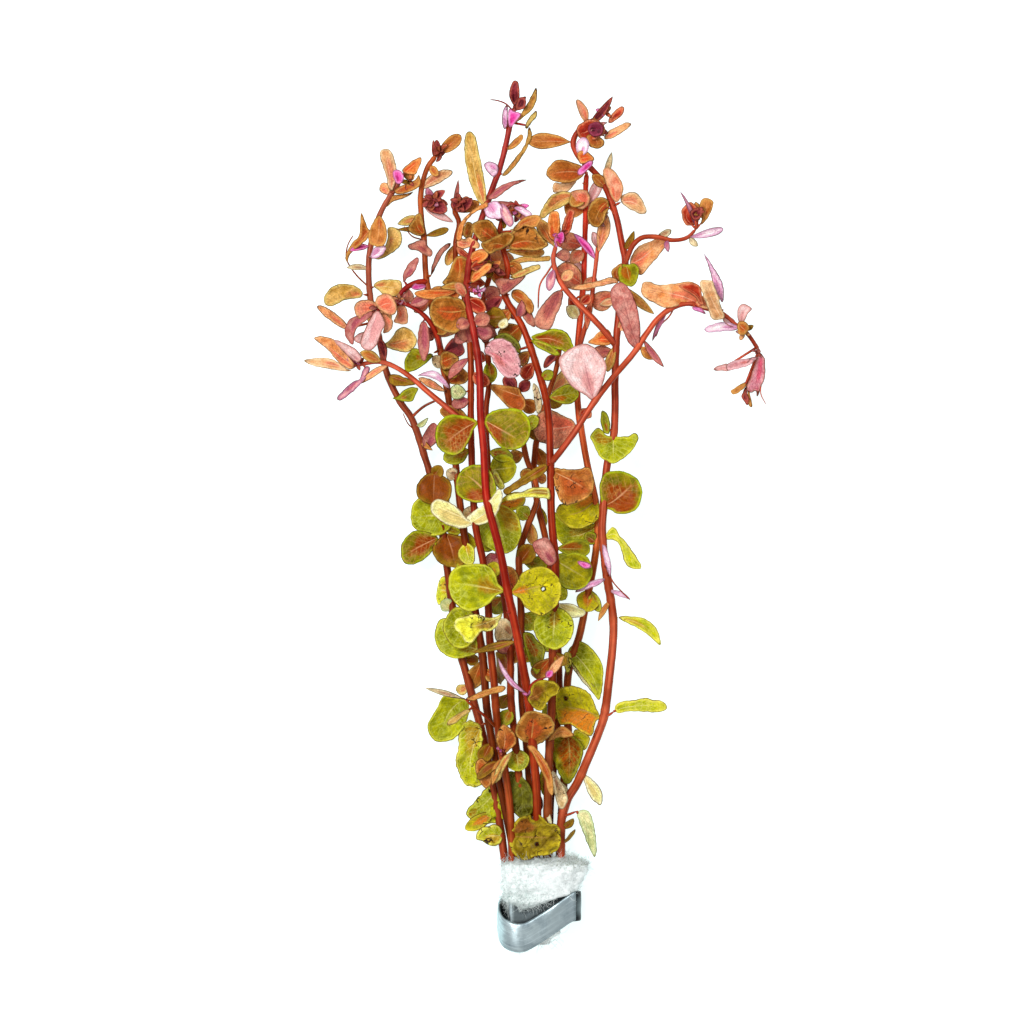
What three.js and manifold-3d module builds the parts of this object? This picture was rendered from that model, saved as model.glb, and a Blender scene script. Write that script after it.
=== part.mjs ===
// A bunch of rotala stems lying on a surface, its foot wrapped in floss and held by a bent lead strip.
// Millimetres. +X runs across the bunch, +Y from the foot to the growing tips, +Z up from the surface.
import * as THREE from "three";
import { mergeVertices } from "three/addons/utils/BufferGeometryUtils.js";
import Module from "manifold-3d";

const wasm = await Module();
wasm.setup();

// Driving dimensions
const bunchLength = 250;
const stripWidth = 8.3;
const stripThickness = 1;
const stripInnerHeight = 9;
const stripFrontHeight = 12.8;
const stripInnerColumn = 509;
const stripRightColumn = 582;
const stripLeftColumn = 497;
const stripEndColumn = 576;
const flossWidth = 26;
const flossFootWidth = 16.4;
const flossDepth = 12.8;
const flossFootDepth = 6.2;
const flossTopRow = 857;
const flossFootRow = 955;
const leafThickness = 0.9;
const gap = 0.3;
const smoothing = 0.1;

// Places are read from the photograph as columns and rows of pixels. The bunch spans these rows.
const tipRow = 83;
const footRow = 958;
const middleColumn = 532.1;
const middleRow = 519;
const scale = bunchLength / (footRow - tipRow);

function at(column, row, height) {
  return new THREE.Vector3((column - middleColumn) * scale, (middleRow - row) * scale, height);
}

// Stems: name, width in pixels, then [column, row, height in mm] points from the cut foot to the tip.
const stems = [
  ["stem_1", 8.2, [[507, 893, 4.4], [504, 858, 4.6], [488, 760, 5.3], [470, 690, 6.6], [457, 640, 7],
    [447, 570, 7], [437, 500, 7], [424, 456, 7], [411, 418, 7], [400, 402, 7.5], [386, 372, 8],
    [378, 335, 8], [370, 300, 8], [368, 262, 8.5], [372, 235, 9], [381, 210, 10], [393, 190, 11],
    [400, 180, 12]]],
  ["stem_2", 8.2, [[517, 893, 4.5], [514, 858, 4.8], [499, 780, 8.4], [487, 710, 10], [483, 660, 10],
    [475, 610, 10], [468, 560, 10], [460, 505, 10], [453, 440, 10], [449, 403, 10], [441, 354, 10.5],
    [436, 329, 11], [426, 278, 11], [424, 240, 11], [421, 215, 11.5], [421, 190, 12], [427, 168, 12.5],
    [436, 155, 13]]],
  ["stem_3", 8, [[509, 893, 8], [512, 858, 8.3], [509, 800, 10], [504, 765, 12.5], [497, 720, 16],
    [494, 680, 18.5], [490, 640, 20], [488, 600, 20], [483, 560, 20], [476, 527, 20], [472, 460, 20],
    [471, 416, 20], [471, 358, 20], [468, 325, 18], [463, 290, 16], [456, 262, 14.5], [456, 240, 13.5],
    [459, 222, 13.5], [453, 209, 13.5]]],
  ["stem_4", 8.8, [[534, 893, 8.1], [536, 858, 8.6], [537, 800, 11], [534, 760, 14.5], [528, 697, 20],
    [520, 650, 23.5], [514, 620, 25], [508, 592, 26], [501, 555, 26], [494, 527, 26], [487, 499, 26],
    [484, 449, 26], [481, 416, 26], [480, 375, 26], [477, 350, 25.5], [472, 324, 24], [467, 296, 22],
    [470, 262, 20], [478, 232, 19], [487, 205, 18], [494, 185, 17], [501, 165, 16.5], [506, 145, 16],
    [510, 125, 15.5], [514, 108, 15.5]]],
  ["stem_5", 7.6, [[527, 893, 4.4], [526, 858, 4.6], [521, 800, 7], [516, 750, 10], [511, 700, 13],
    [510, 650, 14], [505, 600, 14], [499, 555, 14], [492, 505, 14], [487, 450, 14], [486, 410, 14],
    [489, 383, 14], [487, 345, 13], [482, 310, 12], [487, 285, 12], [495, 262, 13]]],
  ["stem_6", 8, [[538, 893, 4.4], [536, 858, 4.6], [531, 800, 4.8], [527, 750, 6], [522, 700, 8.5],
    [521, 650, 10.5], [521, 610, 11], [519, 570, 11], [520, 550, 11], [528, 525, 11.5], [537, 500, 12],
    [535, 480, 12], [527, 460, 12], [523, 440, 12], [520, 415, 12], [518, 392, 12.5]]],
  ["stem_7", 8, [[549, 893, 4.3], [549, 858, 4.4], [551, 800, 4.4], [556, 745, 4.6], [559, 700, 4.8],
    [559, 665, 5], [556, 620, 5.5], [551, 580, 6], [546, 540, 6], [538, 505, 6.5], [534, 475, 7],
    [536, 445, 8], [541, 422, 9], [548, 395, 10], [556, 370, 11], [560, 345, 12]]],
  ["stem_8", 8.8, [[547, 893, 8], [547, 858, 8.3], [548, 800, 9.6], [549, 760, 11.5], [551, 720, 14.5],
    [552, 690, 16.5], [553, 650, 19], [554, 610, 20.5], [555, 570, 21], [551, 512, 21], [550, 458, 21],
    [547, 406, 21], [535, 362, 21], [523, 329, 20], [504, 293, 18.5], [508, 270, 17.5], [503, 250, 17],
    [500, 232, 16.5], [503, 218, 16.5]]],
  ["stem_9", 8, [[560, 893, 4.3], [560, 858, 4.4], [563, 800, 4.6], [568, 745, 5.2], [568, 700, 6.6],
    [568, 680, 7.6], [572, 660, 8.6], [580, 635, 9.5], [587, 600, 9.5], [595, 560, 9.5], [598, 530, 9.5],
    [595, 497, 9.5], [588, 466, 9.5], [583, 438, 9.5], [578, 403, 9.5], [578, 346, 9.5], [581, 312, 9.5],
    [584, 277, 9.5], [585, 243, 9.5], [586, 209, 10], [586, 184, 11], [587, 172, 11.5]]],
  ["stem_10", 8.8, [[561, 893, 7.9], [561, 858, 8.3], [562, 820, 9], [568, 800, 9.5], [577, 785, 10],
    [588, 760, 11], [598, 735, 12], [604, 717, 13], [609, 680, 14], [613, 640, 15], [613, 617, 15],
    [606, 570, 15], [602, 530, 15], [603, 512, 15], [607, 465, 15], [614, 432, 15], [615, 381, 15],
    [616, 346, 15], [620, 300, 15], [625, 262, 15], [621, 240, 15], [617, 220, 15], [613, 207, 15],
    [604, 185, 15], [592, 170, 15.5], [581, 160, 16], [573, 145, 16], [578, 132, 16], [588, 128, 16.5]]],
];

// Side shoots: name, width in pixels, the stem they fork from, then their points.
const shoots = [
  ["shoot_arch", 6.4, "stem_8", [[551, 463, 21], [560, 452, 23], [574, 433, 24.5], [592, 405, 25],
    [611, 380, 25], [633, 354, 25], [644, 337, 24.5], [657, 320, 24], [672, 309, 23], [688, 305, 22],
    [703, 309, 21], [722, 315, 19], [738, 328, 17], [746, 333, 16], [759, 350, 13]]],
  ["shoot_bend", 6.4, "stem_10", [[615, 345, 15], [606, 334, 17.5], [592, 319, 19.5], [578, 305, 20],
    [564, 289, 20], [556, 274, 20], [553, 260, 20], [556, 246, 20]]],
  ["shoot_curl", 5.4, "stem_10", [[625, 264, 15], [628, 256, 17.6], [632, 247, 19], [641, 239, 19],
    [657, 238, 18], [672, 241, 17], [687, 238, 16], [696, 229, 15]]],
  ["shoot_left", 6, "stem_3", [[471, 430, 20], [463, 422, 21.5], [454, 414, 21.5], [429, 393, 19],
    [409, 376, 17], [393, 366, 16], [380, 362, 15], [356, 365, 14]]],
  ["shoot_short", 6, "stem_2", [[426, 281, 11], [418, 282, 13.5], [409, 286, 14.5], [402, 292, 15],
    [398, 299, 15]]],
  ["shoot_fan", 5.2, "stem_2", [[440, 349, 10.6], [437, 336, 13.4], [428, 320, 15], [417, 310, 16],
    [404, 304, 17], [392, 303, 17]]],
  ["shoot_thin", 5, "stem_9", [[578, 352, 9.5], [583, 335, 12], [590, 310, 13], [594, 280, 13.5],
    [598, 245, 13.5], [600, 222, 13.5]]],
];

// Twigs and long leaf stalks, grown on a stem: the stem, width in pixels, points.
const twigs = [
  ["stem_1", 3, [[411, 417, 7], [417, 411, 8], [425, 405, 8.5], [438, 399, 9]]],
  ["stem_3", 3, [[496, 727, 15.5], [486, 716, 19], [474, 706, 20], [465, 698, 20]]],
  ["stem_4", 3.4, [[528, 698, 20], [530, 686, 23], [535, 680, 24.5], [545, 676, 25]]],
  ["stem_10", 2.8, [[562, 818, 9], [570, 815, 10.5], [577, 812, 11]]],
  ["stem_10", 2.8, [[604, 716, 13], [609, 715, 14], [614, 711, 15]]],
];

// Leaves: what they grow from, the base and the tip in pixels, width in pixels, then how far the tip lies
// above the base in mm, the roll about the leaf's own axis in degrees, its shape and its colour.
const largeLeaves = [
  ["stem_3", 511, 838, 562, 838, 44, 4, 0, "round", "old"],
  ["stem_1", 500, 812, 463, 826, 50, 0, 0, "round", "lime"],
  ["stem_1", 470, 697, 432, 734, 40, 2, 0, "round", "lime"],
  ["stem_2", 487, 722, 471, 790, 30, -3, 25, "oval", "yellow"],
  ["stem_4", 531, 742, 532, 704, 38, 8, 10, "round", "rust"],
  ["stem_10", 602, 717, 554, 712, 48, -3, 8, "round", "old"],
  ["stem_9", 568, 733, 571, 779, 27, 3, 20, "oval", "olive"],
  ["stem_9", 572, 650, 601, 699, 33, 4, 20, "oval", "lime"],
  ["stem_10", 613, 711, 667, 706, 15, 3, 30, "long", "lime"],
  ["stem_4", 508, 592, 448, 585, 45, 1, 0, "round", "lime"],
  ["stem_4", 508, 592, 561, 589, 47, 1, 0, "round", "blush"],
  ["stem_1", 441, 515, 408, 516, 42, 1, 0, "round", "lime"],
  ["stem_1", 443, 537, 400, 558, 32, 3, 10, "round", "blush"],
  ["stem_1", 445, 534, 456, 569, 35, 4, 0, "round", "rust"],
  ["stem_3", 477, 521, 432, 504, 22, 2, 35, "oval", "cream"],
  ["stem_3", 475, 522, 503, 495, 23, 9, 35, "oval", "cream"],
  ["stem_4", 487, 500, 461, 467, 42, -4, 0, "round", "blush"],
  ["stem_5", 489, 470, 517, 467, 30, 3, 0, "round", "olive"],
  ["stem_4", 483, 423, 531, 433, 41, 2, 0, "round", "blush"],
  ["stem_4", 480, 423, 436, 438, 36, 2, 0, "round", "blush"],
  ["stem_1", 430, 471, 433, 505, 36, 4, 0, "round", "rust"],
  ["stem_8", 551, 470, 594, 488, 38, -2, 0, "round", "copper"],
  ["stem_9", 595, 500, 556, 513, 42, 4, 0, "round", "old"],
  ["stem_9", 598, 528, 555, 532, 38, -1, 0, "round", "lime"],
  ["stem_8", 554, 560, 589, 580, 38, -4, 0, "round", "olive"],
  ["stem_10", 613, 431, 612, 466, 46, 4, 0, "round", "lime"],
  ["stem_10", 603, 508, 642, 483, 42, 2, 0, "round", "blush"],
  ["stem_10", 603, 537, 641, 567, 17, 3, 40, "oval", "lime"],
  ["stem_10", 613, 618, 660, 647, 18, 2, 30, "oval", "old"],
  ["stem_8", 555, 604, 551, 649, 43, 5, 0, "round", "old"],
  ["stem_2", 479, 626, 442, 628, 42, 3, 0, "round", "lime"],
  ["stem_2", 482, 652, 434, 640, 38, -3, 0, "round", "lime"],
  ["stem_5", 491, 502, 512, 550, 34, 3, 0, "round", "olive"],
  ["stem_4", 467, 312, 431, 316, 40, 3, 0, "round", "copper"],
  ["shoot_arch", 595, 402, 581, 345, 40, 4, 0, "oval", "pale"],
  ["shoot_arch", 637, 350, 618, 287, 28, 2, 20, "oval", "rose"],
  ["stem_4", 478, 353, 519, 378, 34, 2, 15, "oval", "rose"],
  ["stem_8", 530, 344, 572, 349, 27, 2, 0, "round", "olive"],
  ["stem_10", 625, 262, 666, 239, 24, -3, 20, "oval", "copper"],
  ["shoot_arch", 700, 308, 640, 286, 24, 3, 20, "long", "salmon"],
];

const smallLeaves = [
  ["stem_1", 503, 838, 475, 839, 22, 1, 0, "round", "yellow"],
  ["stem_10", 577, 812, 596, 860, 15, -3, 30, "long", "lime"],
  ["stem_10", 583, 773, 603, 807, 15, 2, 40, "long", "lime"],
  ["stem_3", 503, 752, 501, 723, 24, 6, 0, "round", "rust"],
  ["stem_4", 532, 748, 550, 786, 10, 3, 20, "lance", "copper"],
  ["stem_5", 517, 748, 519, 772, 25, 2, 0, "round", "lime"],
  ["stem_5", 518, 772, 523, 816, 22, 0, 15, "oval", "olive"],
  ["stem_8", 549, 762, 565, 806, 15, 3, 35, "oval", "pale"],
  ["stem_9", 590, 588, 587, 613, 24, 2, 0, "round", "old"],
  ["stem_4", 511, 612, 453, 624, 24, 2, 25, "oval", "yellow"],
  ["stem_1", 449, 592, 436, 590, 30, -2, 0, "round", "yellow"],
  ["stem_5", 497, 537, 478, 545, 24, -2, 0, "round", "olive"],
  ["stem_2", 466, 541, 470, 565, 18, 3, 20, "oval", "yellow"],
  ["stem_8", 554, 567, 537, 537, 23, 2, 10, "oval", "rose"],
  ["stem_6", 521, 612, 540, 668, 22, 4, 20, "oval", "olive"],
  ["stem_8", 550, 462, 502, 492, 12, 3, 50, "oval", "salmon"],
  ["stem_8", 549, 490, 506, 494, 13, 4, 40, "oval", "yellow"],
  ["stem_1", 422, 452, 436, 424, 16, 3, 20, "oval", "rust"],
  ["stem_1", 369, 291, 323, 303, 24, 2, 15, "oval", "amber"],
  ["stem_1", 369, 289, 404, 287, 21, 2, 15, "oval", "amber"],
  ["stem_1", 379, 343, 417, 341, 26, 4, 0, "oval", "amber"],
  ["stem_2", 441, 356, 405, 369, 24, 3, 20, "oval", "olive"],
  ["stem_1", 399, 399, 417, 390, 14, 2, 30, "oval", "olive"],
  ["stem_2", 446, 388, 410, 374, 20, 3, 20, "oval", "pale"],
  ["stem_6", 518, 393, 492, 385, 20, 1, 0, "oval", "copper"],
  ["stem_6", 519, 394, 511, 414, 24, 3, 0, "oval", "copper"],
  ["stem_8", 547, 400, 579, 392, 20, -3, 10, "oval", "lime"],
  ["stem_9", 579, 424, 541, 430, 36, 1, 0, "oval", "salmon"],
  ["stem_7", 541, 422, 531, 438, 20, -1, 0, "oval", "rust"],
  ["shoot_arch", 644, 341, 664, 368, 8, 2, 30, "lance", "rose"],
  ["shoot_arch", 719, 314, 700, 284, 17, 3, 20, "long", "salmon"],
  ["shoot_arch", 722, 315, 702, 256, 8, 4, 10, "lance", "mauve"],
  ["shoot_arch", 738, 328, 703, 332, 9, 2, 20, "lance", "pale"],
  ["shoot_arch", 757, 350, 712, 371, 9, 2, 20, "lance", "rose"],
  ["shoot_arch", 759, 350, 758, 396, 15, -14, 20, "oval", "rose"],
  ["shoot_arch", 758, 350, 750, 406, 12, -5, 20, "oval", "copper"],
  ["shoot_arch", 757, 349, 733, 392, 8, -7, 20, "lance", "copper"],
  ["stem_10", 625, 264, 628, 289, 21, 5, 0, "round", "olive"],
  ["stem_10", 622, 274, 568, 291, 10, 3, 20, "lance", "salmon"],
  ["stem_9", 587, 173, 545, 173, 25, 2, 0, "oval", "copper"],
  ["stem_9", 586, 193, 537, 217, 19, 1, 20, "oval", "amber"],
  ["stem_10", 611, 201, 594, 229, 24, 3, 0, "oval", "copper"],
  ["stem_10", 613, 206, 607, 169, 20, 1, 20, "oval", "salmon"],
  ["stem_10", 614, 206, 645, 214, 17, 2, 20, "oval", "salmon"],
  ["stem_10", 573, 141, 528, 143, 17, 2, 10, "long", "copper"],
  ["stem_10", 587, 128, 577, 101, 8, 2, 20, "lance", "salmon"],
  ["stem_10", 589, 128, 612, 98, 9, 4, 20, "lance", "maroon"],
  ["stem_10", 589, 128, 625, 109, 11, 2, 20, "long", "rust"],
  ["stem_10", 588, 129, 631, 125, 9, 3, 10, "long", "salmon"],
  ["stem_10", 584, 129, 603, 149, 20, 3, 0, "round", "copper"],
  ["stem_4", 514, 109, 515, 83, 11, 0, 10, "oval", "maroon"],
  ["stem_4", 514, 110, 537, 89, 12, 2, 20, "oval", "copper"],
  ["stem_4", 505, 150, 536, 112, 8, 1, 20, "lance", "copper"],
  ["stem_4", 485, 210, 468, 133, 19, 1, 0, "long", "amber"],
  ["stem_4", 486, 206, 503, 223, 20, 4, 0, "oval", "pale"],
  ["stem_8", 503, 246, 470, 224, 27, 3, 0, "oval", "copper"],
  ["stem_8", 503, 250, 549, 247, 23, 3, 10, "oval", "amber"],
  ["stem_8", 502, 236, 537, 221, 20, 4, 0, "oval", "copper"],
  ["stem_8", 509, 274, 539, 267, 11, 2, 20, "lance", "amber"],
  ["stem_8", 504, 292, 528, 279, 14, 3, 10, "oval", "mauve"],
  ["stem_8", 505, 294, 524, 301, 15, -3, 0, "oval", "copper"],
  ["stem_8", 525, 333, 505, 336, 18, -3, 0, "oval", "olive"],
  ["stem_4", 468, 300, 487, 312, 16, 2, 20, "oval", "rose"],
  ["stem_4", 474, 330, 494, 343, 16, -2, 20, "oval", "rose"],
  ["stem_3", 457, 260, 448, 286, 24, 3, 0, "oval", "olive"],
  ["stem_3", 457, 238, 476, 225, 18, 3, 20, "oval", "salmon"],
  ["stem_3", 454, 211, 461, 197, 15, 2, 0, "round", "maroon"],
  ["stem_3", 471, 382, 452, 397, 16, 2, 20, "oval", "pale"],
  ["stem_2", 440, 353, 456, 378, 16, 2, 10, "oval", "rust"],
  ["stem_2", 427, 283, 409, 293, 10, 5, 20, "lance", "salmon"],
  ["stem_2", 424, 238, 409, 224, 16, 2, 0, "oval", "amber"],
  ["stem_2", 421, 196, 448, 212, 17, 3, 0, "oval", "maroon"],
  ["stem_2", 421, 187, 454, 170, 13, 1, 20, "long", "amber"],
  ["stem_2", 436, 155, 461, 136, 14, 2, 10, "long", "copper"],
  ["stem_1", 392, 191, 383, 147, 17, 1, 0, "long", "copper"],
  ["stem_1", 399, 181, 422, 159, 12, 2, 20, "oval", "salmon"],
  ["stem_1", 391, 193, 415, 190, 11, 2, 20, "oval", "copper"],
  ["stem_1", 379, 214, 378, 253, 18, 4, 0, "oval", "rust"],
  ["stem_1", 371, 240, 402, 238, 28, 1, 0, "oval", "amber"],
  ["stem_1", 370, 244, 361, 212, 11, 2, 20, "lance", "copper"],
  ["stem_1", 369, 246, 345, 262, 13, 0, 20, "oval", "copper"],
  ["stem_1", 376, 328, 317, 307, 12, 4, 20, "long", "salmon"],
  ["shoot_short", 406, 288, 419, 257, 11, 2, 20, "oval", "rose"],
  ["shoot_fan", 396, 303, 378, 304, 21, 3, 0, "round", "salmon"],
  ["shoot_fan", 394, 303, 353, 309, 17, 1, 20, "oval", "rust"],
  ["shoot_fan", 393, 303, 366, 352, 18, 4, 20, "oval", "pale"],
  ["shoot_fan", 393, 303, 345, 343, 15, 2, 20, "oval", "rose"],
  ["shoot_fan", 395, 303, 388, 335, 14, 1, 10, "oval", "rose"],
  ["shoot_fan", 398, 303, 405, 324, 15, 1, 10, "oval", "rust"],
  ["shoot_fan", 423, 316, 424, 362, 12, 3, 10, "oval", "mauve"],
  ["shoot_left", 358, 365, 315, 338, 18, 4, 15, "oval", "salmon"],
  ["shoot_left", 358, 365, 302, 360, 14, -15, 0, "oval", "salmon"],
  ["shoot_left", 359, 365, 336, 401, 13, 1, 20, "oval", "rose"],
  ["shoot_left", 388, 364, 360, 384, 8, -1, 20, "lance", "salmon"],
  ["shoot_bend", 556, 247, 551, 212, 14, 2, 10, "oval", "orange"],
  ["shoot_bend", 556, 247, 572, 211, 14, 0, 20, "oval", "orange"],
  ["shoot_bend", 554, 255, 592, 260, 10, 3, 20, "lance", "magenta"],
  ["shoot_bend", 564, 289, 542, 331, 22, 1, 10, "oval", "rose"],
  ["shoot_thin", 599, 228, 604, 206, 9, 1, 20, "oval", "salmon"],
  ["stem_9", 584, 285, 557, 272, 26, 3, 0, "round", "salmon"],
  ["stem_10", 615, 343, 607, 372, 10, 1, 20, "oval", "amber"],
  ["shoot_curl", 695, 230, 682, 207, 20, 3, 10, "round", "copper"],
  ["shoot_curl", 696, 229, 708, 199, 14, 2, 20, "oval", "copper"],
  ["shoot_curl", 696, 229, 695, 207, 13, 5, 0, "oval", "maroon"],
  ["shoot_curl", 686, 238, 722, 228, 9, -2, 20, "lance", "mauve"],
  ["stem_3", 466, 699, 504, 685, 8, 3, 10, "lance", "copper"],
  ["stem_3", 468, 701, 448, 724, 9, 2, 10, "oval", "salmon"],
  ["stem_4", 529, 699, 552, 690, 22, 3, 10, "oval", "cream"],
];

// Leaves on the underside, where the bunch rests on them.
const underLeaves = [
  ["stem_1", 371, 300, 384, 324, 26, -9, 0, "round", "amber"],
  ["stem_2", 438, 340, 452, 312, 28, -11, 0, "round", "copper"],
  ["stem_9", 586, 224, 600, 202, 24, -11, 0, "oval", "copper"],
  ["stem_9", 584, 290, 568, 262, 28, -10, 0, "round", "salmon"],
  ["stem_7", 549, 392, 578, 376, 28, -11, 0, "oval", "olive"],
  ["stem_5", 489, 280, 505, 250, 28, -13, 0, "oval", "copper"],
  ["stem_8", 503, 252, 524, 232, 26, -18, 0, "oval", "amber"],
  ["stem_7", 559, 690, 574, 722, 30, -6, 0, "round", "olive"],
  ["stem_1", 441, 520, 430, 492, 30, -8, 0, "round", "lime"],
  ["stem_7", 551, 580, 574, 560, 32, -7, 0, "round", "olive"],
  ["stem_2", 470, 575, 482, 600, 30, -10, 0, "round", "lime"],
  ["stem_6", 519, 570, 532, 596, 30, -12, 0, "round", "olive"],
];

// Leaf shapes: the half width along the leaf is (sin(pi s^shift))^power of its greatest half width.
const leafShapes = {
  round: { shift: 0.92, power: 0.55, cup: 0.18, bend: 0.02 },
  oval: { shift: 1, power: 0.75, cup: 0.3, bend: 0.05 },
  long: { shift: 1.35, power: 0.8, cup: 0.3, bend: 0.06 },
  lance: { shift: 0.85, power: 0.9, cup: 0.35, bend: 0.08 },
};

const colours = {
  lime: 0xa4ae22, blush: 0x9a7a26, old: 0xb39a22, yellow: 0xcfc53a, olive: 0x74751c, cream: 0xe6dca4,
  rust: 0x8e5520, copper: 0xb96a34, amber: 0xc8a04c, orange: 0xe0641e, salmon: 0xe09468, rose: 0xc8707c,
  pale: 0xedc2c4, mauve: 0xb0718c, magenta: 0xe83ca8, maroon: 0x5c1420, stem: 0xb63226, lead: 0x6f7a80,
  floss: 0xeff5f4,
};

// A closed mesh with its shared vertices joined becomes a solid that can be cut and joined.
function solidOf(geometry) {
  geometry.deleteAttribute("normal");
  geometry.deleteAttribute("uv");
  const merged = mergeVertices(geometry, 1e-5);
  const vertProperties = new Float32Array(merged.attributes.position.array);
  const triVerts = new Uint32Array(merged.index.array);
  return new wasm.Manifold(new wasm.Mesh({ numProp: 3, vertProperties, triVerts }));
}

function largestBody(solid) {
  const bodies = solid.decompose();
  return bodies.reduce((best, body) => (body.volume() > best.volume() ? body : best));
}

function moveVertices(geometry, place) {
  const position = geometry.attributes.position;
  const vertex = new THREE.Vector3();
  for (let index = 0; index < position.count; index += 1) {
    vertex.fromBufferAttribute(position, index);
    place(vertex);
    position.setXYZ(index, vertex.x, vertex.y, vertex.z);
  }
  return geometry;
}

// A stem is a tube along its curve that narrows towards the tip.
const stemSides = 5;
const tipShare = 0.62;

function stemSolid(curve, radius, steps, extra) {
  const corners = Array.from({ length: stemSides }, (_, corner) => {
    const angle = (2 * Math.PI * corner) / stemSides;
    return new THREE.Vector2(radius * Math.cos(angle), radius * Math.sin(angle));
  });
  const tube = new THREE.ExtrudeGeometry(new THREE.Shape(corners), {
    steps, extrudePath: curve, bevelEnabled: false,
  });
  const centres = curve.getSpacedPoints(steps);
  moveVertices(tube, (vertex) => {
    let nearest = 0;
    centres.forEach((centre, index) => {
      if (centre.distanceToSquared(vertex) < centres[nearest].distanceToSquared(vertex)) nearest = index;
    });
    const share = 1 - (1 - tipShare) * (nearest / steps) ** 2;
    const width = (radius * share + extra) / radius;
    vertex.sub(centres[nearest]).multiplyScalar(width).add(centres[nearest]);
  });
  return solidOf(tube);
}

// A leaf is a flattened sphere: its poles become the base and the tip. With four meridians they become the
// two edges, the upper face and the lower face, and with three the two edges and the keel.
function leafSolid(leaf, meridians, rings, extra) {
  const [parent, baseColumn, baseRow, tipColumn, tipRow_, width, lift, roll, shapeName] = leaf;
  const shape = leafShapes[shapeName];
  const base = nearestOnLine(middleLines.get(parent), at(baseColumn, baseRow, 0));
  const tip = at(tipColumn, tipRow_, base.z + lift);
  const along = tip.clone().sub(base);
  const length = along.length();
  along.normalize();
  const across = new THREE.Vector3(along.y, -along.x, 0).normalize();
  const normal = across.clone().cross(along).normalize();
  across.applyAxisAngle(along, THREE.MathUtils.degToRad(roll));
  normal.applyAxisAngle(along, THREE.MathUtils.degToRad(roll));
  const halfWidth = (width * scale) / 2;
  const stalk = 0.4;
  const widest = Math.sin((2 * Math.PI * Math.floor(meridians / 3)) / meridians);
  const sphere = new THREE.SphereGeometry(1, meridians, rings);
  moveVertices(sphere, (vertex) => {
    const share = (1 - vertex.y) / 2;
    const ring = Math.max(Math.hypot(vertex.x, vertex.z), 1e-6);
    const side = vertex.z / ring / widest;
    const face = vertex.x / ring;
    const outward = Math.abs(face) > 0.1 ? Math.sign(face) * extra : 0;
    const profile = Math.sin(Math.PI * share ** shape.shift) ** shape.power;
    const half = Math.max(halfWidth * profile, stalk) + extra;
    const thick = (leafThickness / 2) * (0.6 + 0.4 * profile);
    const arch = shape.bend * length * Math.sin(Math.PI * share);
    vertex.copy(base).addScaledVector(along, share * length + (share - 0.5) * 2 * extra);
    vertex.addScaledVector(normal, arch);
    vertex.z = Math.max(vertex.z, thick + extra + Math.abs(across.z) * half);
    vertex.addScaledVector(across, side * half);
    vertex.addScaledVector(normal, Math.abs(side) * shape.cup * half + face * thick + outward);
  });
  return solidOf(sphere);
}

// The place on a tube's middle line that lies nearest to a point seen from above.
function nearestOnLine(centres, point) {
  const places = centres.slice(1).map((end, index) => {
    const start = centres[index];
    const seen = new THREE.Line3(start.clone().setZ(0), end.clone().setZ(0));
    const share = Math.min(seen.closestPointToPointParameter(point, true), 0.9);
    const distance = seen.at(share, new THREE.Vector3()).distanceTo(point);
    return { distance, place: start.clone().lerp(end, share) };
  });
  return places.reduce((best, item) => (item.distance < best.distance ? item : best)).place;
}

function boxesMeet(a, b) {
  return [0, 1, 2].every((axis) => a.min[axis] < b.max[axis] && b.min[axis] < a.max[axis]);
}

// What is placed first stays whole, and what comes later gives way to it by the gap.
const placed = [];

function giveWay(solid, owner) {
  const box = solid.boundingBox();
  const others = placed.filter((item) => item.owner !== owner && boxesMeet(item.box, box));
  if (others.length === 0) return solid;
  return solid.subtract(wasm.Manifold.union(others.map((item) => item.grown)));
}

function keepClear(owner, grown) {
  placed.push({ owner, grown, box: grown.boundingBox() });
}

function curveThrough(points) {
  return new THREE.CatmullRomCurve3(points.map((point) => at(...point)), false, "centripetal");
}

// The lead strip, wound one and a half times round the floss. Seen along the bunch it starts inside at the
// left, runs right over the floss, turns down, runs back flat on the surface, turns up and crosses the front.
const stripPath = new THREE.Path();
const rightTurn = (stripInnerHeight - stripThickness) / 2;
const leftTurn = (stripFrontHeight - stripThickness) / 2;
const stripMiddle = stripThickness / 2;
const rightX = at(stripRightColumn, middleRow, 0).x - rightTurn - stripMiddle;
const leftX = at(stripLeftColumn, middleRow, 0).x + leftTurn + stripMiddle;
stripPath.moveTo(at(stripInnerColumn, middleRow, 0).x, stripMiddle + 2 * rightTurn);
stripPath.lineTo(rightX, stripMiddle + 2 * rightTurn);
stripPath.absarc(rightX, stripMiddle + rightTurn, rightTurn, Math.PI / 2, -Math.PI / 2, true);
stripPath.lineTo(leftX, stripMiddle);
stripPath.absarc(leftX, stripMiddle + leftTurn, leftTurn, -Math.PI / 2, Math.PI / 2, true);
stripPath.lineTo(at(stripEndColumn, middleRow, 0).x, stripInnerHeight + 2 * stripMiddle + gap);

// Rows of the strip's middle line from its inner end to its outer end, evenly spaced along it.
const stripRows = [918, 918, 914, 910, 909, 909, 909, 910, 911, 913, 920, 932, 937, 932, 918, 910];
const stripLine = new THREE.CatmullRomCurve3(stripRows.map((row) => at(middleColumn, row, 0)));
const stripSteps = 30;

function stripSolid(extra) {
  const bar = new THREE.BoxGeometry(1, 1, 1, stripSteps, 1, 1);
  return solidOf(moveVertices(bar, (vertex) => {
    const share = vertex.x + 0.5;
    const middle = stripPath.getPointAt(share);
    const tangent = stripPath.getTangentAt(share);
    const out = vertex.z * (stripThickness + 2 * extra);
    const wide = vertex.y * (stripWidth + 2 * extra);
    vertex.set(middle.x - tangent.y * out, stripLine.getPoint(share).y + wide, middle.y + tangent.x * out);
  }));
}

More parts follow.
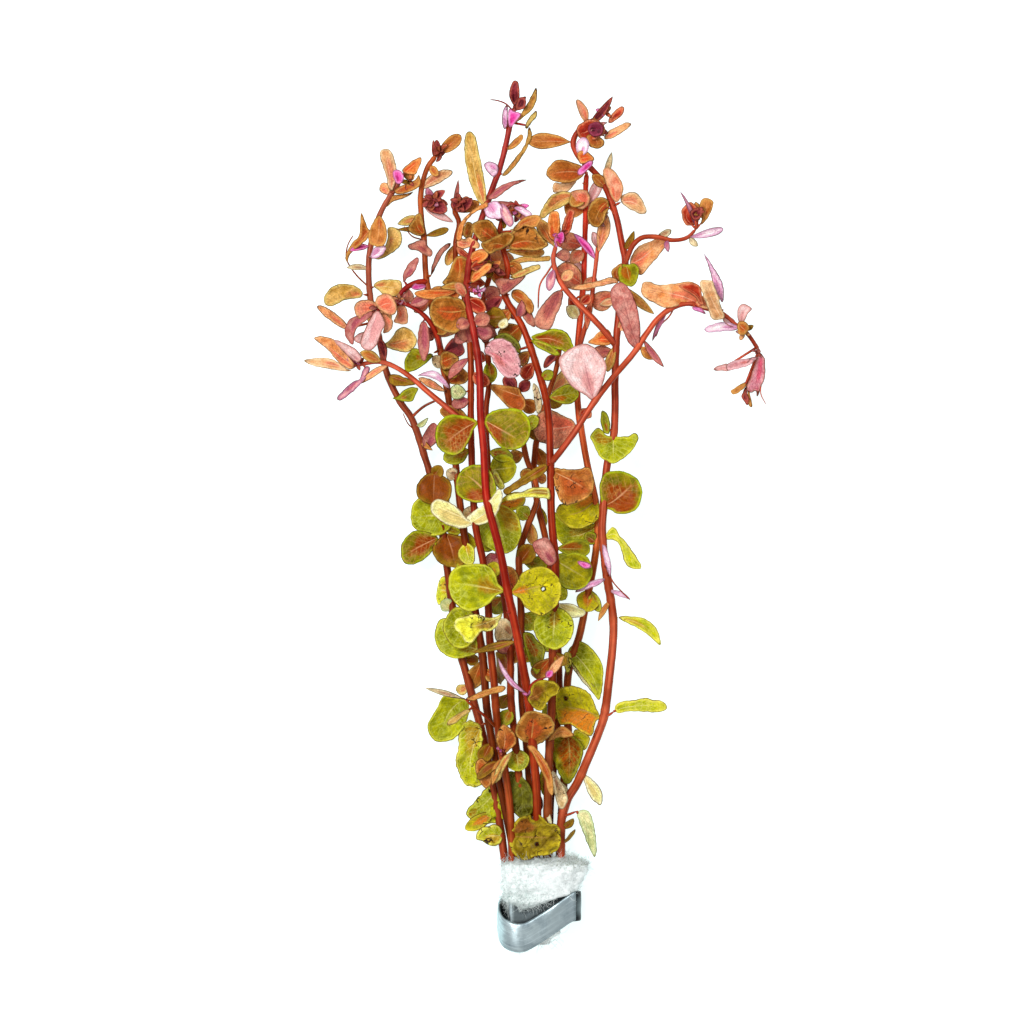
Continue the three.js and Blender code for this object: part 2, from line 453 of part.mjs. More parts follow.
// The floss: a wad with a ragged upper edge, pressed flat inside the strip.
function flossSolid() {
  const lump = new THREE.CylinderGeometry(1, 1, 1, 12, 6);
  const top = at(545, flossTopRow, 6.6);
  const foot = at(530, flossFootRow, 4.6);
  const lowest = stripThickness + gap;
  return solidOf(moveVertices(lump, (vertex) => {
    const share = vertex.y + 0.5;
    const angle = Math.atan2(vertex.z, vertex.x);
    const spread = THREE.MathUtils.smoothstep(share, 0.5, 0.67);
    const rounded = share < 0.05 ? 0.75 : 1;
    const ragged = rounded * (1 + 0.05 * Math.sin(3 * angle + 9 * share) + 0.03 * Math.sin(7 * angle));
    const centre = foot.clone().lerp(top, spread);
    const x = centre.x + (vertex.x * ragged * THREE.MathUtils.lerp(flossFootWidth, flossWidth, spread)) / 2;
    const z = centre.z + (vertex.z * ragged * THREE.MathUtils.lerp(flossFootDepth, flossDepth, spread)) / 2;
    const tuft = share > 0.95 ? Math.sin(5 * angle) : 0;
    vertex.set(x, THREE.MathUtils.lerp(foot.y, top.y, share) + tuft, Math.max(z, lowest));
  }));
}

function toMesh(name, solid, colour, roughness, metalness) {
  const { numProp, vertProperties, triVerts } = solid.getMesh();
  const geometry = new THREE.BufferGeometry();
  geometry.setAttribute("position", new THREE.BufferAttribute(new Float32Array(vertProperties), numProp));
  geometry.setIndex(new THREE.BufferAttribute(new Uint32Array(triVerts), 1));
  geometry.computeVertexNormals();
  const material = new THREE.MeshStandardMaterial({ color: colour, roughness, metalness });
  const mesh = new THREE.Mesh(geometry, material);
  mesh.name = name;
  return mesh;
}

const bunch = new THREE.Group();
const curves = new Map();
const grownParts = new Map();

const middleLines = new Map();
const stemSteps = 13;
const shootSteps = 8;
const twigSteps = 3;

stems.forEach(([name, , points]) => {
  curves.set(name, curveThrough(points));
  middleLines.set(name, curves.get(name).getSpacedPoints(stemSteps));
});
shoots.forEach(([name, , , points]) => {
  curves.set(name, curveThrough(points));
  middleLines.set(name, curves.get(name).getSpacedPoints(shootSteps));
});

const strip = stripSolid(0);
keepClear("lead_strip", stripSolid(gap));

stems.forEach(([name, width]) => {
  const radius = (width * scale) / 2;
  grownParts.set(name, [stemSolid(curves.get(name), radius, stemSteps, 0)]);
  keepClear(name, stemSolid(curves.get(name), radius, stemSteps, gap));
});
shoots.forEach(([name, width]) => {
  const radius = (width * scale) / 2;
  const whole = stemSolid(curves.get(name), radius, shootSteps, 0);
  grownParts.set(name, [largestBody(giveWay(whole, name))]);
  keepClear(name, stemSolid(curves.get(name), radius, shootSteps, gap));
});
twigs.forEach(([parent, width, points]) => {
  const radius = (width * scale) / 2;
  const curve = curveThrough(points);
  curve.points[0] = nearestOnLine(middleLines.get(parent), curve.points[0].clone().setZ(0));
  grownParts.get(parent).push(giveWay(stemSolid(curve, radius, twigSteps, 0), parent));
  keepClear(parent, stemSolid(curve, radius, twigSteps, gap));
});

const largeLeaf = { meridians: 4, rings: 5 };
const smallLeaf = { meridians: 3, rings: 4 };
const narrowLeaf = { meridians: 3, rings: 3, widest: 13 };
const leafMeshes = largeLeaves.map((leaf, index) => {
  const name = `leaf_${String(index + 1).padStart(2, "0")}`;
  const { meridians, rings } = largeLeaf;
  const whole = leafSolid(leaf, meridians, rings, 0);
  keepClear(name, leafSolid(leaf, meridians, rings, gap));
  const solid = largestBody(giveWay(whole, name).simplify(smoothing));
  return toMesh(name, solid, colours[leaf[9]], 0.5, 0);
});
[...smallLeaves, ...underLeaves].forEach((leaf) => {
  const [parent, , , , , width] = leaf;
  const { meridians, rings } = width < narrowLeaf.widest ? narrowLeaf : smallLeaf;
  grownParts.get(parent).push(giveWay(leafSolid(leaf, meridians, rings, 0), parent));
  keepClear(parent, leafSolid(leaf, meridians, rings, gap));
});

const floss = largestBody(giveWay(flossSolid(), "floss_wrap").simplify(smoothing));
bunch.add(toMesh("lead_strip", strip, colours.lead, 0.45, 0.9));
bunch.add(toMesh("floss_wrap", floss, colours.floss, 0.95, 0));
[...stems, ...shoots].forEach(([name]) => {
  const solid = largestBody(wasm.Manifold.union(grownParts.get(name)).simplify(smoothing));
  bunch.add(toMesh(name, solid, colours.stem, 0.45, 0));
});
leafMeshes.forEach((mesh) => bunch.add(mesh));

export default bunch;
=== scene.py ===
# Dresses a bunch of whorly rotala: ten stems with their leaves, wrapped in floss and held by a lead strip.
# Lengths are in millimetres until a mesh is made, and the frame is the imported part's own.
import math
import random
import bpy
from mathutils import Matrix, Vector, kdtree, noise
from mathutils.geometry import delaunay_2d_cdt


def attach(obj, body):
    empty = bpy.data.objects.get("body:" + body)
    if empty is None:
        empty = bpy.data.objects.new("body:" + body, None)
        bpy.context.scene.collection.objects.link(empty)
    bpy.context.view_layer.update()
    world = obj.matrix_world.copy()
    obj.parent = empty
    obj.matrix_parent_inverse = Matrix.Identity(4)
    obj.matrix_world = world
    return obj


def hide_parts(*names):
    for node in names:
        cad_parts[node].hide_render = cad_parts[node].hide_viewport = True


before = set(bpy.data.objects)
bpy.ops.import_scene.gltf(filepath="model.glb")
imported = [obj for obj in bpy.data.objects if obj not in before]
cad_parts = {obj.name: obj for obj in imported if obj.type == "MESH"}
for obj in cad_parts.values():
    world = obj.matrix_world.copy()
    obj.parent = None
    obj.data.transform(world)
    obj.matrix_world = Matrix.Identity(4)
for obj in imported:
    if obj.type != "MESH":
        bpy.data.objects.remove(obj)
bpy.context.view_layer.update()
print("frame loaded:", len(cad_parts), "solids")

metresPerMm = 0.001

# The photograph's frame: the bunch spans two rows of pixels, and its box is centred on one column and row.
photoFrame = {"bunchLength": 250, "tipRow": 83, "footRow": 958, "middleColumn": 532.1, "middleRow": 519,
              "pictureCentre": 512, "pictureSide": 1024}
mmPerPixel = photoFrame["bunchLength"] / (photoFrame["footRow"] - photoFrame["tipRow"])


def at(column, row, height=0):
    x = (column - photoFrame["middleColumn"]) * mmPerPixel
    y = (photoFrame["middleRow"] - row) * mmPerPixel
    return Vector((x, y, height))


def clamp(value, low=0.0, high=1.0):
    return max(low, min(high, value))


def smoothStep(value, low, high):
    share = clamp((value - low) / (high - low))
    return share * share * (3 - 2 * share)


def mixNumbers(low, high, share):
    return low + (high - low) * share


# A place t of the way from start to end, on a curve that leaves and arrives at given speeds.
def easedPlace(start, end, leave, arrive, t):
    return (start * (2 * t ** 3 - 3 * t ** 2 + 1) + leave * (t ** 3 - 2 * t ** 2 + t)
            + end * (3 * t ** 2 - 2 * t ** 3) + arrive * (t ** 3 - t ** 2))


def linearColour(hexColour):
    channels = [int(hexColour[start:start + 2], 16) / 255 for start in (1, 3, 5)]
    linear = [c / 12.92 if c <= 0.04045 else ((c + 0.055) / 1.055) ** 2.4 for c in channels]
    return linear + [1.0]


# Adds a shader node and gives back one of its outputs. A setting is a socket to link, the value of an input,
# a ramp's stops or one of the node's own options.
def addNode(tree, kind, settings=None, output=0):
    node = tree.nodes.new("ShaderNode" + kind)
    for key, value in (settings or {}).items():
        if isinstance(value, bpy.types.NodeSocket):
            tree.links.new(value, node.inputs[key])
            continue
        if isinstance(value, str) and value.startswith("#"):
            value = linearColour(value)
        if key == "stops":
            elements = node.color_ramp.elements
            for _ in value[2:]:
                elements.new(0.5)
            for element, (position, colour) in zip(elements, value):
                element.position, element.color = position, linearColour(colour)
        elif isinstance(key, int) or key in node.inputs:
            node.inputs[key].default_value = value
        else:
            setattr(node, key, value)
    return node.outputs[output] if len(node.outputs) else None


def newMaterial(name):
    material = bpy.data.materials.new(name)
    material.use_nodes = True
    material.node_tree.nodes.clear()
    return material, material.node_tree

# Fresh leaf blades: a waxy skin over wet tissue, so they are satin with soft highlights, and their colour
# changes inside each blade, from a flushed patch near the stalk to a clear rim.
leafLooks = {                   # blade, shade, flush, rim, rib, vein and how many specks
    "lime": ("#b3b105", "#848802", "#9c6c08", "#d2d03c", "#d9cf7c", "#c3c658", 0.3),
    "blush": ("#938302", "#676302", "#913205", "#a9ba14", "#e6a878", "#b98a48", 0.2),
    "old": ("#d3c40e", "#9d950a", "#d17119", "#d0c034", "#b98a5c", "#8e7a30", 0.9),
    "spent": ("#af9819", "#735d10", "#894c1b", "#c9b52c", "#a8793c", "#5c4210", 1.0),
    "yellow": ("#cdc70f", "#a1a608", "#b98c19", "#e6dc58", "#e4d98c", "#d6cd6a", 0.6),
    "olive": ("#a59803", "#696402", "#9d4406", "#a8ae20", "#b9a85c", "#9c9a40", 0.35),
    "cream": ("#f8f5b4", "#e1d882", "#d4ba6f", "#f2edc9", "#efe7bf", "#bfae6c", 0.45),
    "rust": ("#9b7811", "#705108", "#853c08", "#a07820", "#bf8256", "#7a4420", 0.35),
    "copper": ("#ce8544", "#a35a1d", "#b1511f", "#d29a4e", "#d9a472", "#824018", 0.25),
    "amber": ("#e09c55", "#b26f21", "#c76630", "#d6b460", "#dbb87c", "#8c5c22", 0.3),
    "orange": ("#e59047", "#d0682a", "#d75226", "#eaa860", "#eeb472", "#b4521c", 0.0),
    "salmon": ("#f8c28b", "#de8c4c", "#e17656", "#edb880", "#efc4a0", "#a4563e", 0.2),
    "blushed": ("#f3b08c", "#d17555", "#dd6748", "#d6a06c", "#e6b090", "#96463c", 0.3),
    "rose": ("#daa091", "#b46459", "#a84e5c", "#b5655c", "#7e3438", "#82363c", 0.25),
    "dusky": ("#db9577", "#b25f4e", "#a8514b", "#a8705c", "#74303c", "#7c3a44", 0.4),
    "pale": ("#f0dcd9", "#e2b4af", "#d4918d", "#cf8d84", "#a9606a", "#c07c80", 0.2),
    "lilac": ("#fffdf3", "#f0ccdb", "#d88cb1", "#d39cc0", "#a8487e", "#b8649a", 0.05),
    "peach": ("#e1b484", "#cc8e5a", "#cd795a", "#eccfa2", "#f0d2ac", "#a4663e", 0.2),
    "coral": ("#cd4b2d", "#a62b14", "#8c180a", "#dc8a60", "#e08a66", "#7c2010", 0.2),
    "gold": ("#ebbf72", "#be8d3a", "#cc7346", "#d8c270", "#dcc688", "#7e5a1c", 0.4),
    "bronze": ("#c07a33", "#905213", "#b24819", "#c49a4c", "#c89a54", "#5c3a10", 0.6),
    "moss": ("#6c6a0c", "#413a04", "#4c2c08", "#8c8a24", "#8a8434", "#8e8c3c", 0.5),
    "citron": ("#f3f651", "#d1c82f", "#9c6e37", "#efe98a", "#ece490", "#8c7416", 0.9),
    "mint": ("#fae9b1", "#bec180", "#d1c164", "#c6d8a0", "#d0dca4", "#5c7c34", 0.5),
    "ash": ("#ffe4b3", "#c8a269", "#b17654", "#d8cca4", "#d8c89c", "#5c4a2c", 0.7),
    "orchid": ("#dea5a4", "#c27d82", "#c66c66", "#e6b4b8", "#d06c84", "#6c2438", 0.8),
    "roseRed": ("#efb5bf", "#cd6d7c", "#d5566f", "#d69a90", "#c85868", "#9c2c40", 0.1),
    "mauve": ("#ffc5b8", "#d99091", "#bb5966", "#a46088", "#7c3460", "#8e4a74", 0.0),
    "magenta": ("#ee6cb4", "#dc3c90", "#b81c60", "#eb9aca", "#a81c78", "#c440a0", 0.0),
    "wine": ("#8a2a42", "#581026", "#3c0814", "#a04058", "#8c2848", "#2c0610", 0.1),
    "maroon": ("#b0484c", "#78222a", "#500e16", "#c0604c", "#a8484c", "#3c0c14", 0.2),
}
bladeSettings = {
    "mottlePerMetre": 420,      # patches of tone about 2.4 mm across
    "patchPerMetre": 130,       # broad changes of tone about 8 mm across
    "grainPerMetre": 2600,      # skin cells, drawn coarser than life at 0.4 mm so that they show
    "speckPerMetre": 850,       # black specks about 0.5 mm across
    "crackPerMetre": 330,       # dry cracks about 3 mm long
    "netPerMetre": 620,         # a net of veins 1.6 mm wide, drawn coarser than life
    "warpPerMetre": 595,        # what bends the net and the cracks, by the next value
    "warpMetres": 0.0022,
    "sideVeins": 7,
    "fibresAcross": 26,
    "fibresAlong": 1.6,
    "veinSlant": 0.3,
    "rimRagged": 1.2,           # how much the mottling bites into the rim, and into the flushed patch
    "flushRagged": 0.9,
    "flushPatchy": 0.8,
    # the colour of the thin darker line along each edge
    "edgeTone": "#80603c",
    "darkTone": "#2a160e",
    "roughness": 0.4,
    "specular": 0.1,            # wet leaves on white paper mirror little but white, which would grey them
    "bumpMm": 0.1,
}


def leafBlade(tone, look):
    material, tree = newMaterial("leafBlade" + tone.capitalize())
    blade, shade, flush, rim, ribTone, vein, _ = look
    s = bladeSettings
    seed, flushed, scorched, spotty, fromEdge = [
        addNode(tree, "Attribute", {"attribute_name": name}, 2)
        for name in ("seed", "flush", "scorch", "spots", "edge")]
    place = addNode(tree, "TexCoord", output="Object")
    uv = addNode(tree, "UVMap", {"uv_map": "surface"})
    sideways = addNode(tree, "SeparateXYZ", {0: uv})
    along = sideways.node.outputs[1]
    signed = addNode(tree, "Math", {"operation": "MULTIPLY_ADD", 0: sideways, 1: 2, 2: -1})
    across = addNode(tree, "Math", {"operation": "ABSOLUTE", 0: signed})
    mottle, patch, grain, speck, warp = [
        addNode(tree, "TexNoise", {"noise_dimensions": "4D", "Scale": s[name + "PerMetre"], "Detail": detail,
                                   "Roughness": roughness, "Vector": place, "W": seed}, output)
        for name, detail, roughness, output in (
            ("mottle", 4, 0.5, 0), ("patch", 3, 0.5, 0), ("grain", 2, 0.5, 0), ("speck", 3, 0.7, 0),
            ("warp", 2, 0.5, 1))]

    # side veins run outwards and forwards from the midrib, with a net of fine veins between them
    slanted = addNode(tree, "Math", {"operation": "MULTIPLY_ADD", 0: across, 1: -s["veinSlant"], 2: along})
    counted = addNode(tree, "Math", {"operation": "MULTIPLY_ADD", 0: slanted, 1: s["sideVeins"], 2: mottle})
    sawTooth = addNode(tree, "Math", {"operation": "FRACT", 0: counted})
    fromLine = addNode(tree, "Math", {"operation": "SUBTRACT", 0: sawTooth, 1: 0.5})
    nearLine = addNode(tree, "Math", {"operation": "ABSOLUTE", 0: fromLine})
    bent = addNode(tree, "VectorMath", {"operation": "MULTIPLY_ADD", 0: warp, 1: [s["warpMetres"]] * 3,
                                        2: place})
    netLine, crackLine = [
        addNode(tree, "TexVoronoi", {"feature": "DISTANCE_TO_EDGE", "Scale": s[name], "Vector": bent})
        for name in ("netPerMetre", "crackPerMetre")]

    # the rim and the flushed patch have ragged borders
    fromRim = addNode(tree, "Math", {"operation": "MULTIPLY_ADD", 0: mottle, 1: -s["rimRagged"], 2: fromEdge})
    ragged = addNode(tree, "Math", {"operation": "MULTIPLY_ADD", 0: mottle, 1: s["flushRagged"], 2: flushed})
    patchy = addNode(tree, "Math", {"operation": "MULTIPLY_ADD", 0: patch, 1: s["flushPatchy"], 2: ragged})

    # how far each mark shows: its pattern, where that starts and ends, and the share at each of the two
    ranges = {
        "tone": (mottle, 0.38, 0.62, 0, 1),
        "broad": (patch, 0.4, 0.68, 0, 0.7),
        "flush": (patchy, 1.0, 1.45, 0, 0.92),
        "rim": (fromRim, -0.3, 0.35, 0.75, 0),
        "veinLine": (nearLine, 0.38, 0.5, 0, 0.75),
        "veinFade": (patch, 0.35, 0.65, 0.1, 1),
        "netLine": (netLine, 0.03, 0.14, 0.4, 0),
        "ribLine": (across, 0.01, 0.075, 1, 0),
        "ribFade": (along, 0.3, 0.9, 0.8, 0.05),
        # a thin darker line runs along each edge, fading in patches
        "dryLine": (fromEdge, 0.12, 0.36, 1, 0),
        "dryFade": (patch, 0.36, 0.6, 0.25, 1),
        "crackLine": (crackLine, 0.02, 0.055, 1, 0),
        "crackGate": (mottle, 0.53, 0.6, 0, 1),
        "oldness": (spotty, 0.5, 0.9, 0, 1),
        "speckCut": (speck, 0.66, 0.7, 0, 1),
    }
    soft = ("flush", "rim", "veinLine", "ribLine")
    share = {"spotty": spotty, "scorched": scorched}
    for name, (pattern, low, high, lowShare, highShare) in ranges.items():
        style = "SMOOTHSTEP" if name in soft else "LINEAR"
        share[name] = addNode(tree, "MapRange", {"interpolation_type": style, 0: pattern, 1: low, 2: high,
                                                 3: lowShare, 4: highShare})
    for name, operation, first, second in (
            ("sideVein", "MULTIPLY", "veinLine", "veinFade"),
            ("netVein", "MULTIPLY", "netLine", "veinFade"),
            ("rib", "MULTIPLY", "ribLine", "ribFade"),
            ("dryEdge", "MULTIPLY", "dryLine", "dryFade"),
            ("crackOpen", "MULTIPLY", "crackLine", "crackGate"),
            ("crack", "MULTIPLY", "crackOpen", "oldness"),
            ("specks", "MULTIPLY", "speckCut", "spotty"),
            ("marked", "MAXIMUM", "specks", "crack"),
            ("dark", "MAXIMUM", "marked", "scorched")):
        share[name] = addNode(tree, "Math", {"operation": operation, 0: share[first], 1: share[second]})
    colour = shade
    for name, over in (("tone", blade), ("broad", shade), ("flush", flush), ("rim", rim), ("netVein", vein),
                       ("sideVein", vein), ("rib", ribTone), ("dryEdge", s["edgeTone"]),
                       ("dark", s["darkTone"])):
        mode = "MULTIPLY" if name == "dryEdge" else "MIX"
        colour = addNode(tree, "Mix", {"data_type": "RGBA", "blend_type": mode, 0: share[name], 6: colour,
                                       7: over}, 2)

    # fibres run from the stalk to the tip
    drawn = addNode(tree, "Mapping", {"Vector": uv, "Scale": (s["fibresAcross"], s["fibresAlong"], 1)})
    fibre = addNode(tree, "TexNoise", {"noise_dimensions": "4D", "Scale": 1, "Detail": 3, "Roughness": 0.6,
                                       "Vector": drawn, "W": seed})
    texture = addNode(tree, "Math", {"operation": "ADD", 0: fibre, 1: grain})
    value = addNode(tree, "MapRange", {0: texture, 1: 0.65, 2: 1.35, 3: 0.62, 4: 1.4})
    colour = addNode(tree, "HueSaturation", {"Value": value, "Color": colour})
    relief = addNode(tree, "Math", {"operation": "SUBTRACT", 0: texture, 1: share["sideVein"]})
    bump = addNode(tree, "Bump", {"Strength": 0.6, "Distance": s["bumpMm"] * metresPerMm, "Height": relief})
    shine = addNode(tree, "MapRange", {0: mottle, 1: 0.3, 2: 0.7, 3: s["roughness"] - 0.06,
                                       4: s["roughness"] + 0.08})
    skin = addNode(tree, "BsdfPrincipled", {"IOR": 1.42, "Specular IOR Level": s["specular"],
                                            "Base Color": colour, "Roughness": shine, "Normal": bump})
    addNode(tree, "OutputMaterial", {"Surface": skin})
    return material


# Live stems: smooth skin over juicy tissue, glossy and streaked lengthwise, with a paler ring at each joint.
# Painted shade darkens their flanks and some stretches, and a painted highlight line runs near the top.
stemLooks = {                   # at the foot, halfway up and at the tip
    "clay": ("#9f4026", "#7c2b0f", "#a14e3a"),
    "umber": ("#642508", "#852e0b", "#ac4b22"),
    "mahogany": ("#9e411c", "#8b230b", "#99340e"),
    "crimson": ("#9f3313", "#ab1d14", "#9a2d2a"),
    "cherry": ("#9e4d2c", "#90230a", "#ae3114"),
    "ember": ("#792908", "#cc6231", "#cc3221"),
    "brick": ("#c4573b", "#b2472e", "#a73422"),
    "scarlet": ("#b54831", "#cd553b", "#bd4a38"),
    "garnet": ("#b82c19", "#93221b", "#9b1626"),
}
# a painted highlight line lies at the given share around the stem, and the patches of painted shadow are
# sized per metre
stemSettings = {"streaksAcross": 3.2, "streaksAlong": 0.35, "streakScale": 1.4, "mottlePerMetre": 300,
                "patchPerMetre": 75, "colourStops": (0.12, 0.5, 0.88), "highlightAt": 0.42, "highlightShare": 0.35,
                "knotShare": 0.16, "roughness": 0.32, "specular": 0.1, "bumpMm": 0.08}


def stemSkin(name, look):
    material, tree = newMaterial("stemSkin" + name.capitalize())
    s = stemSettings
    along, knot = [addNode(tree, "Attribute", {"attribute_name": name}, 2) for name in ("along", "knot")]
    uv = addNode(tree, "UVMap", {"uv_map": "surface"})
    place = addNode(tree, "TexCoord", output="Object")
    across = addNode(tree, "SeparateXYZ", {0: uv})
    stretched = addNode(tree, "Mapping", {"Vector": uv, "Scale": (s["streaksAcross"], s["streaksAlong"], 1)})
    streak, mottle, patch = [
        addNode(tree, "TexNoise", {"Scale": scale, "Detail": detail, "Vector": vector})
        for scale, detail, vector in ((s["streakScale"], 4, stretched), (s["mottlePerMetre"], 4, place),
                                      (s["patchPerMetre"], 2, place))]
    ramp = addNode(tree, "ValToRGB", {"stops": list(zip(s["colourStops"], look)), "Fac": along})
    # a dark and a pale copy of the skin colour: the dark one serves the streaks and the painted shade, the
    # pale one the streaks, the joint rings and the painted highlight
    dark = addNode(tree, "HueSaturation", {"Value": 0.42, "Saturation": 1.2, "Color": ramp})
    pale = addNode(tree, "HueSaturation", {"Hue": 0.512, "Value": 1.35, "Saturation": 0.98, "Color": ramp})

    # a painted highlight line runs left of the ridge, and painted shade darkens both flanks and some
    # stretches
    highlightLine = addNode(tree, "Math", {"operation": "COMPARE", 0: across, 1: s["highlightAt"], 2: 0.1})
    ridgeHighlight, ring = [
        addNode(tree, "Math", {"operation": "MULTIPLY", 0: pattern, 1: strength})
        for pattern, strength in ((highlightLine, s["highlightShare"]), (knot, s["knotShare"]))]
    # streaks, then patches of painted shadow and painted shade on the left and right flanks
    darkStreak, paleStreak, shadowPatch, leftFlankShade, rightFlankShade = [
        addNode(tree, "MapRange", {"interpolation_type": "SMOOTHSTEP", 0: pattern, 1: low, 2: high,
                                   3: lowShare, 4: highShare})
        for pattern, low, high, lowShare, highShare in (
            (streak, 0.44, 0.62, 0, 0.75), (streak, 0.34, 0.44, 0.5, 0), (patch, 0.5, 0.62, 0, 0.6),
            (across, 0.02, 0.24, 0.65, 0), (across, 0.66, 1, 0, 0.8))]
    colour = ramp
    for share, over in ((darkStreak, dark), (paleStreak, pale), (ridgeHighlight, pale), (shadowPatch, dark),
                        (leftFlankShade, dark), (rightFlankShade, dark), (ring, pale)):
        colour = addNode(tree, "Mix", {"data_type": "RGBA", 0: share, 6: colour, 7: over}, 2)
    value = addNode(tree, "MapRange", {0: mottle, 1: 0.3, 2: 0.7, 3: 0.8, 4: 1.18})
    colour = addNode(tree, "HueSaturation", {"Value": value, "Color": colour})
    bump = addNode(tree, "Bump", {"Strength": 0.4, "Distance": s["bumpMm"] * metresPerMm, "Height": streak})
    skin = addNode(tree, "BsdfPrincipled", {"IOR": 1.42, "Roughness": s["roughness"], "Base Color": colour,
                                            "Specular IOR Level": s["specular"], "Normal": bump})
    addNode(tree, "OutputMaterial", {"Surface": skin})
    return material


# Lead sheet, rolled and bent by hand: soft blue-grey metal, satin where it was rubbed, with patches of oxide,
# and painted shade inside the loop and towards its outer end.
# the oxide colour also paints shade at the outer end, and the darkest colour is painted shade inside the loop
leadLook = {"metal": "#b6c6ca", "oxideAndShade": "#6d7c84", "rub": "#d6e6ea", "insideShade": "#14171a", "roughness": 0.36,
            "rubScale": (14, 2.4, 1), "patchPerMetre": 240, "pitPerMetre": 1920, "dentMm": 0.12}


def leadSheet():
    material, tree = newMaterial("leadSheet")
    look = leadLook
    uv = addNode(tree, "UVMap", {"uv_map": "surface"})
    along, shaded = [addNode(tree, "Attribute", {"attribute_name": name}, 2) for name in ("along", "scorch")]
    place = addNode(tree, "TexCoord", output="Object")
    stretched = addNode(tree, "Mapping", {"Vector": uv, "Scale": look["rubScale"]})
    rubbed, patch, pit = [
        addNode(tree, "TexNoise", {"Scale": scale, "Detail": detail, "Vector": vector})
        for scale, detail, vector in ((1.6, 6, stretched), (look["patchPerMetre"], 6, place),
                                      (look["pitPerMetre"], 2, place))]
    # oxide in patches, rubbed streaks along the strip and painted shade towards the outer end; then painted
    # shade inside the loop, which sees little light, least of all along the inner run's two edges
    colour = look["metal"]
    for pattern, low, high, most, over in ((patch, 0.42, 0.7, 0.8, "oxideAndShade"), (rubbed, 0.5, 0.72, 0.6, "rub"),
                                           (along, 0.84, 0.97, 0.3, "oxideAndShade")):
        share = addNode(tree, "MapRange", {0: pattern, 1: low, 2: high, 3: 0, 4: most})
        colour = addNode(tree, "Mix", {"data_type": "RGBA", 0: share, 6: colour, 7: look[over]}, 2)
    colour = addNode(tree, "Mix", {"data_type": "RGBA", 0: shaded, 6: colour, 7: look["insideShade"]}, 2)
    shine = addNode(tree, "MapRange", {0: patch, 1: 0.3, 2: 0.7, 3: look["roughness"] - 0.08,
                                       4: look["roughness"] + 0.14})
    relief = addNode(tree, "Math", {"operation": "ADD", 0: patch, 1: pit})
    bump = addNode(tree, "Bump", {"Strength": 0.35, "Distance": look["dentMm"] * metresPerMm,
                                  "Height": relief})
    skin = addNode(tree, "BsdfPrincipled", {"Metallic": 1.0, "Base Color": colour, "Roughness": shine,
                                            "Normal": bump})
    addNode(tree, "OutputMaterial", {"Surface": skin})
    return material


# Polyester filter floss, carded and damp: matte white tangled fibre, with blue-green painted shade in its
# hollows and where the wad is in shade.
flossLook = {"fibre": "#f6fbfa", "hollowShade": "#a4bab4", "grit": "#828c6c", "clumpPerMetre": 520,
             "gritPerMetre": 1700, "threadPerMetre": 1300, "bumpMm": 0.4, "shadeShare": 0.3}


def filterFloss():
    material, tree = newMaterial("filterFloss")
    look = flossLook
    place = addNode(tree, "TexCoord", output="Object")
    clump, speck, thread = [
        addNode(tree, "TexNoise", {"Scale": look[name], "Detail": detail, "Roughness": roughness,
                                   "Distortion": distortion, "Vector": place})
        for name, detail, roughness, distortion in (
            ("clumpPerMetre", 6, 0.65, 0), ("gritPerMetre", 2, 0.5, 0), ("threadPerMetre", 3, 0.5, 1.5))]
    dirty, shaded = [addNode(tree, "Attribute", {"attribute_name": name}, 2) for name in ("flush", "scorch")]
    # threads show most where the wad is in shade
    clumpShare, threadReach, threadCut, gritCut = [
        addNode(tree, "MapRange", {0: pattern, 1: low, 2: high, 3: lowShare, 4: 1})
        for pattern, low, high, lowShare in ((clump, 0.28, 0.46, 0.75), (shaded, 0, 1, 0.18),
                                             (thread, 0.48, 0.66, 0), (speck, 0.5, 0.64, 0))]
    shadeShare, threadShare, gritShare = [
        addNode(tree, "Math", {"operation": "MULTIPLY", 0: first, 1: second})
        for first, second in ((shaded, look["shadeShare"]), (threadCut, threadReach), (gritCut, dirty))]
    # the base colour is the painted shade of the hollows; clumps lift it to white fibre, then painted shade,
    # threads in that shade colour and grit go over it
    colour = look["hollowShade"]
    for share, over in ((clumpShare, "fibre"), (shadeShare, "hollowShade"), (threadShare, "hollowShade"),
                        (gritShare, "grit")):
        colour = addNode(tree, "Mix", {"data_type": "RGBA", 0: share, 6: colour, 7: look[over]}, 2)
    relief = addNode(tree, "Math", {"operation": "ADD", 0: clump, 1: thread})
    bump = addNode(tree, "Bump", {"Strength": 0.9, "Distance": look["bumpMm"] * metresPerMm,
                                  "Height": relief})
    skin = addNode(tree, "BsdfPrincipled", {
        "Roughness": 0.9, "Subsurface Weight": 0.2, "Subsurface Scale": 0.001, "Subsurface Radius": (1, 1, 1),
        "Sheen Weight": 0.2, "Base Color": colour, "Normal": bump})
    addNode(tree, "OutputMaterial", {"Surface": skin})
    return material


plantMaterials = {tone: leafBlade(tone, look) for tone, look in leafLooks.items()}
plantMaterials.update({tone: stemSkin(tone, look) for tone, look in stemLooks.items()})
print("materials made:", len(plantMaterials))

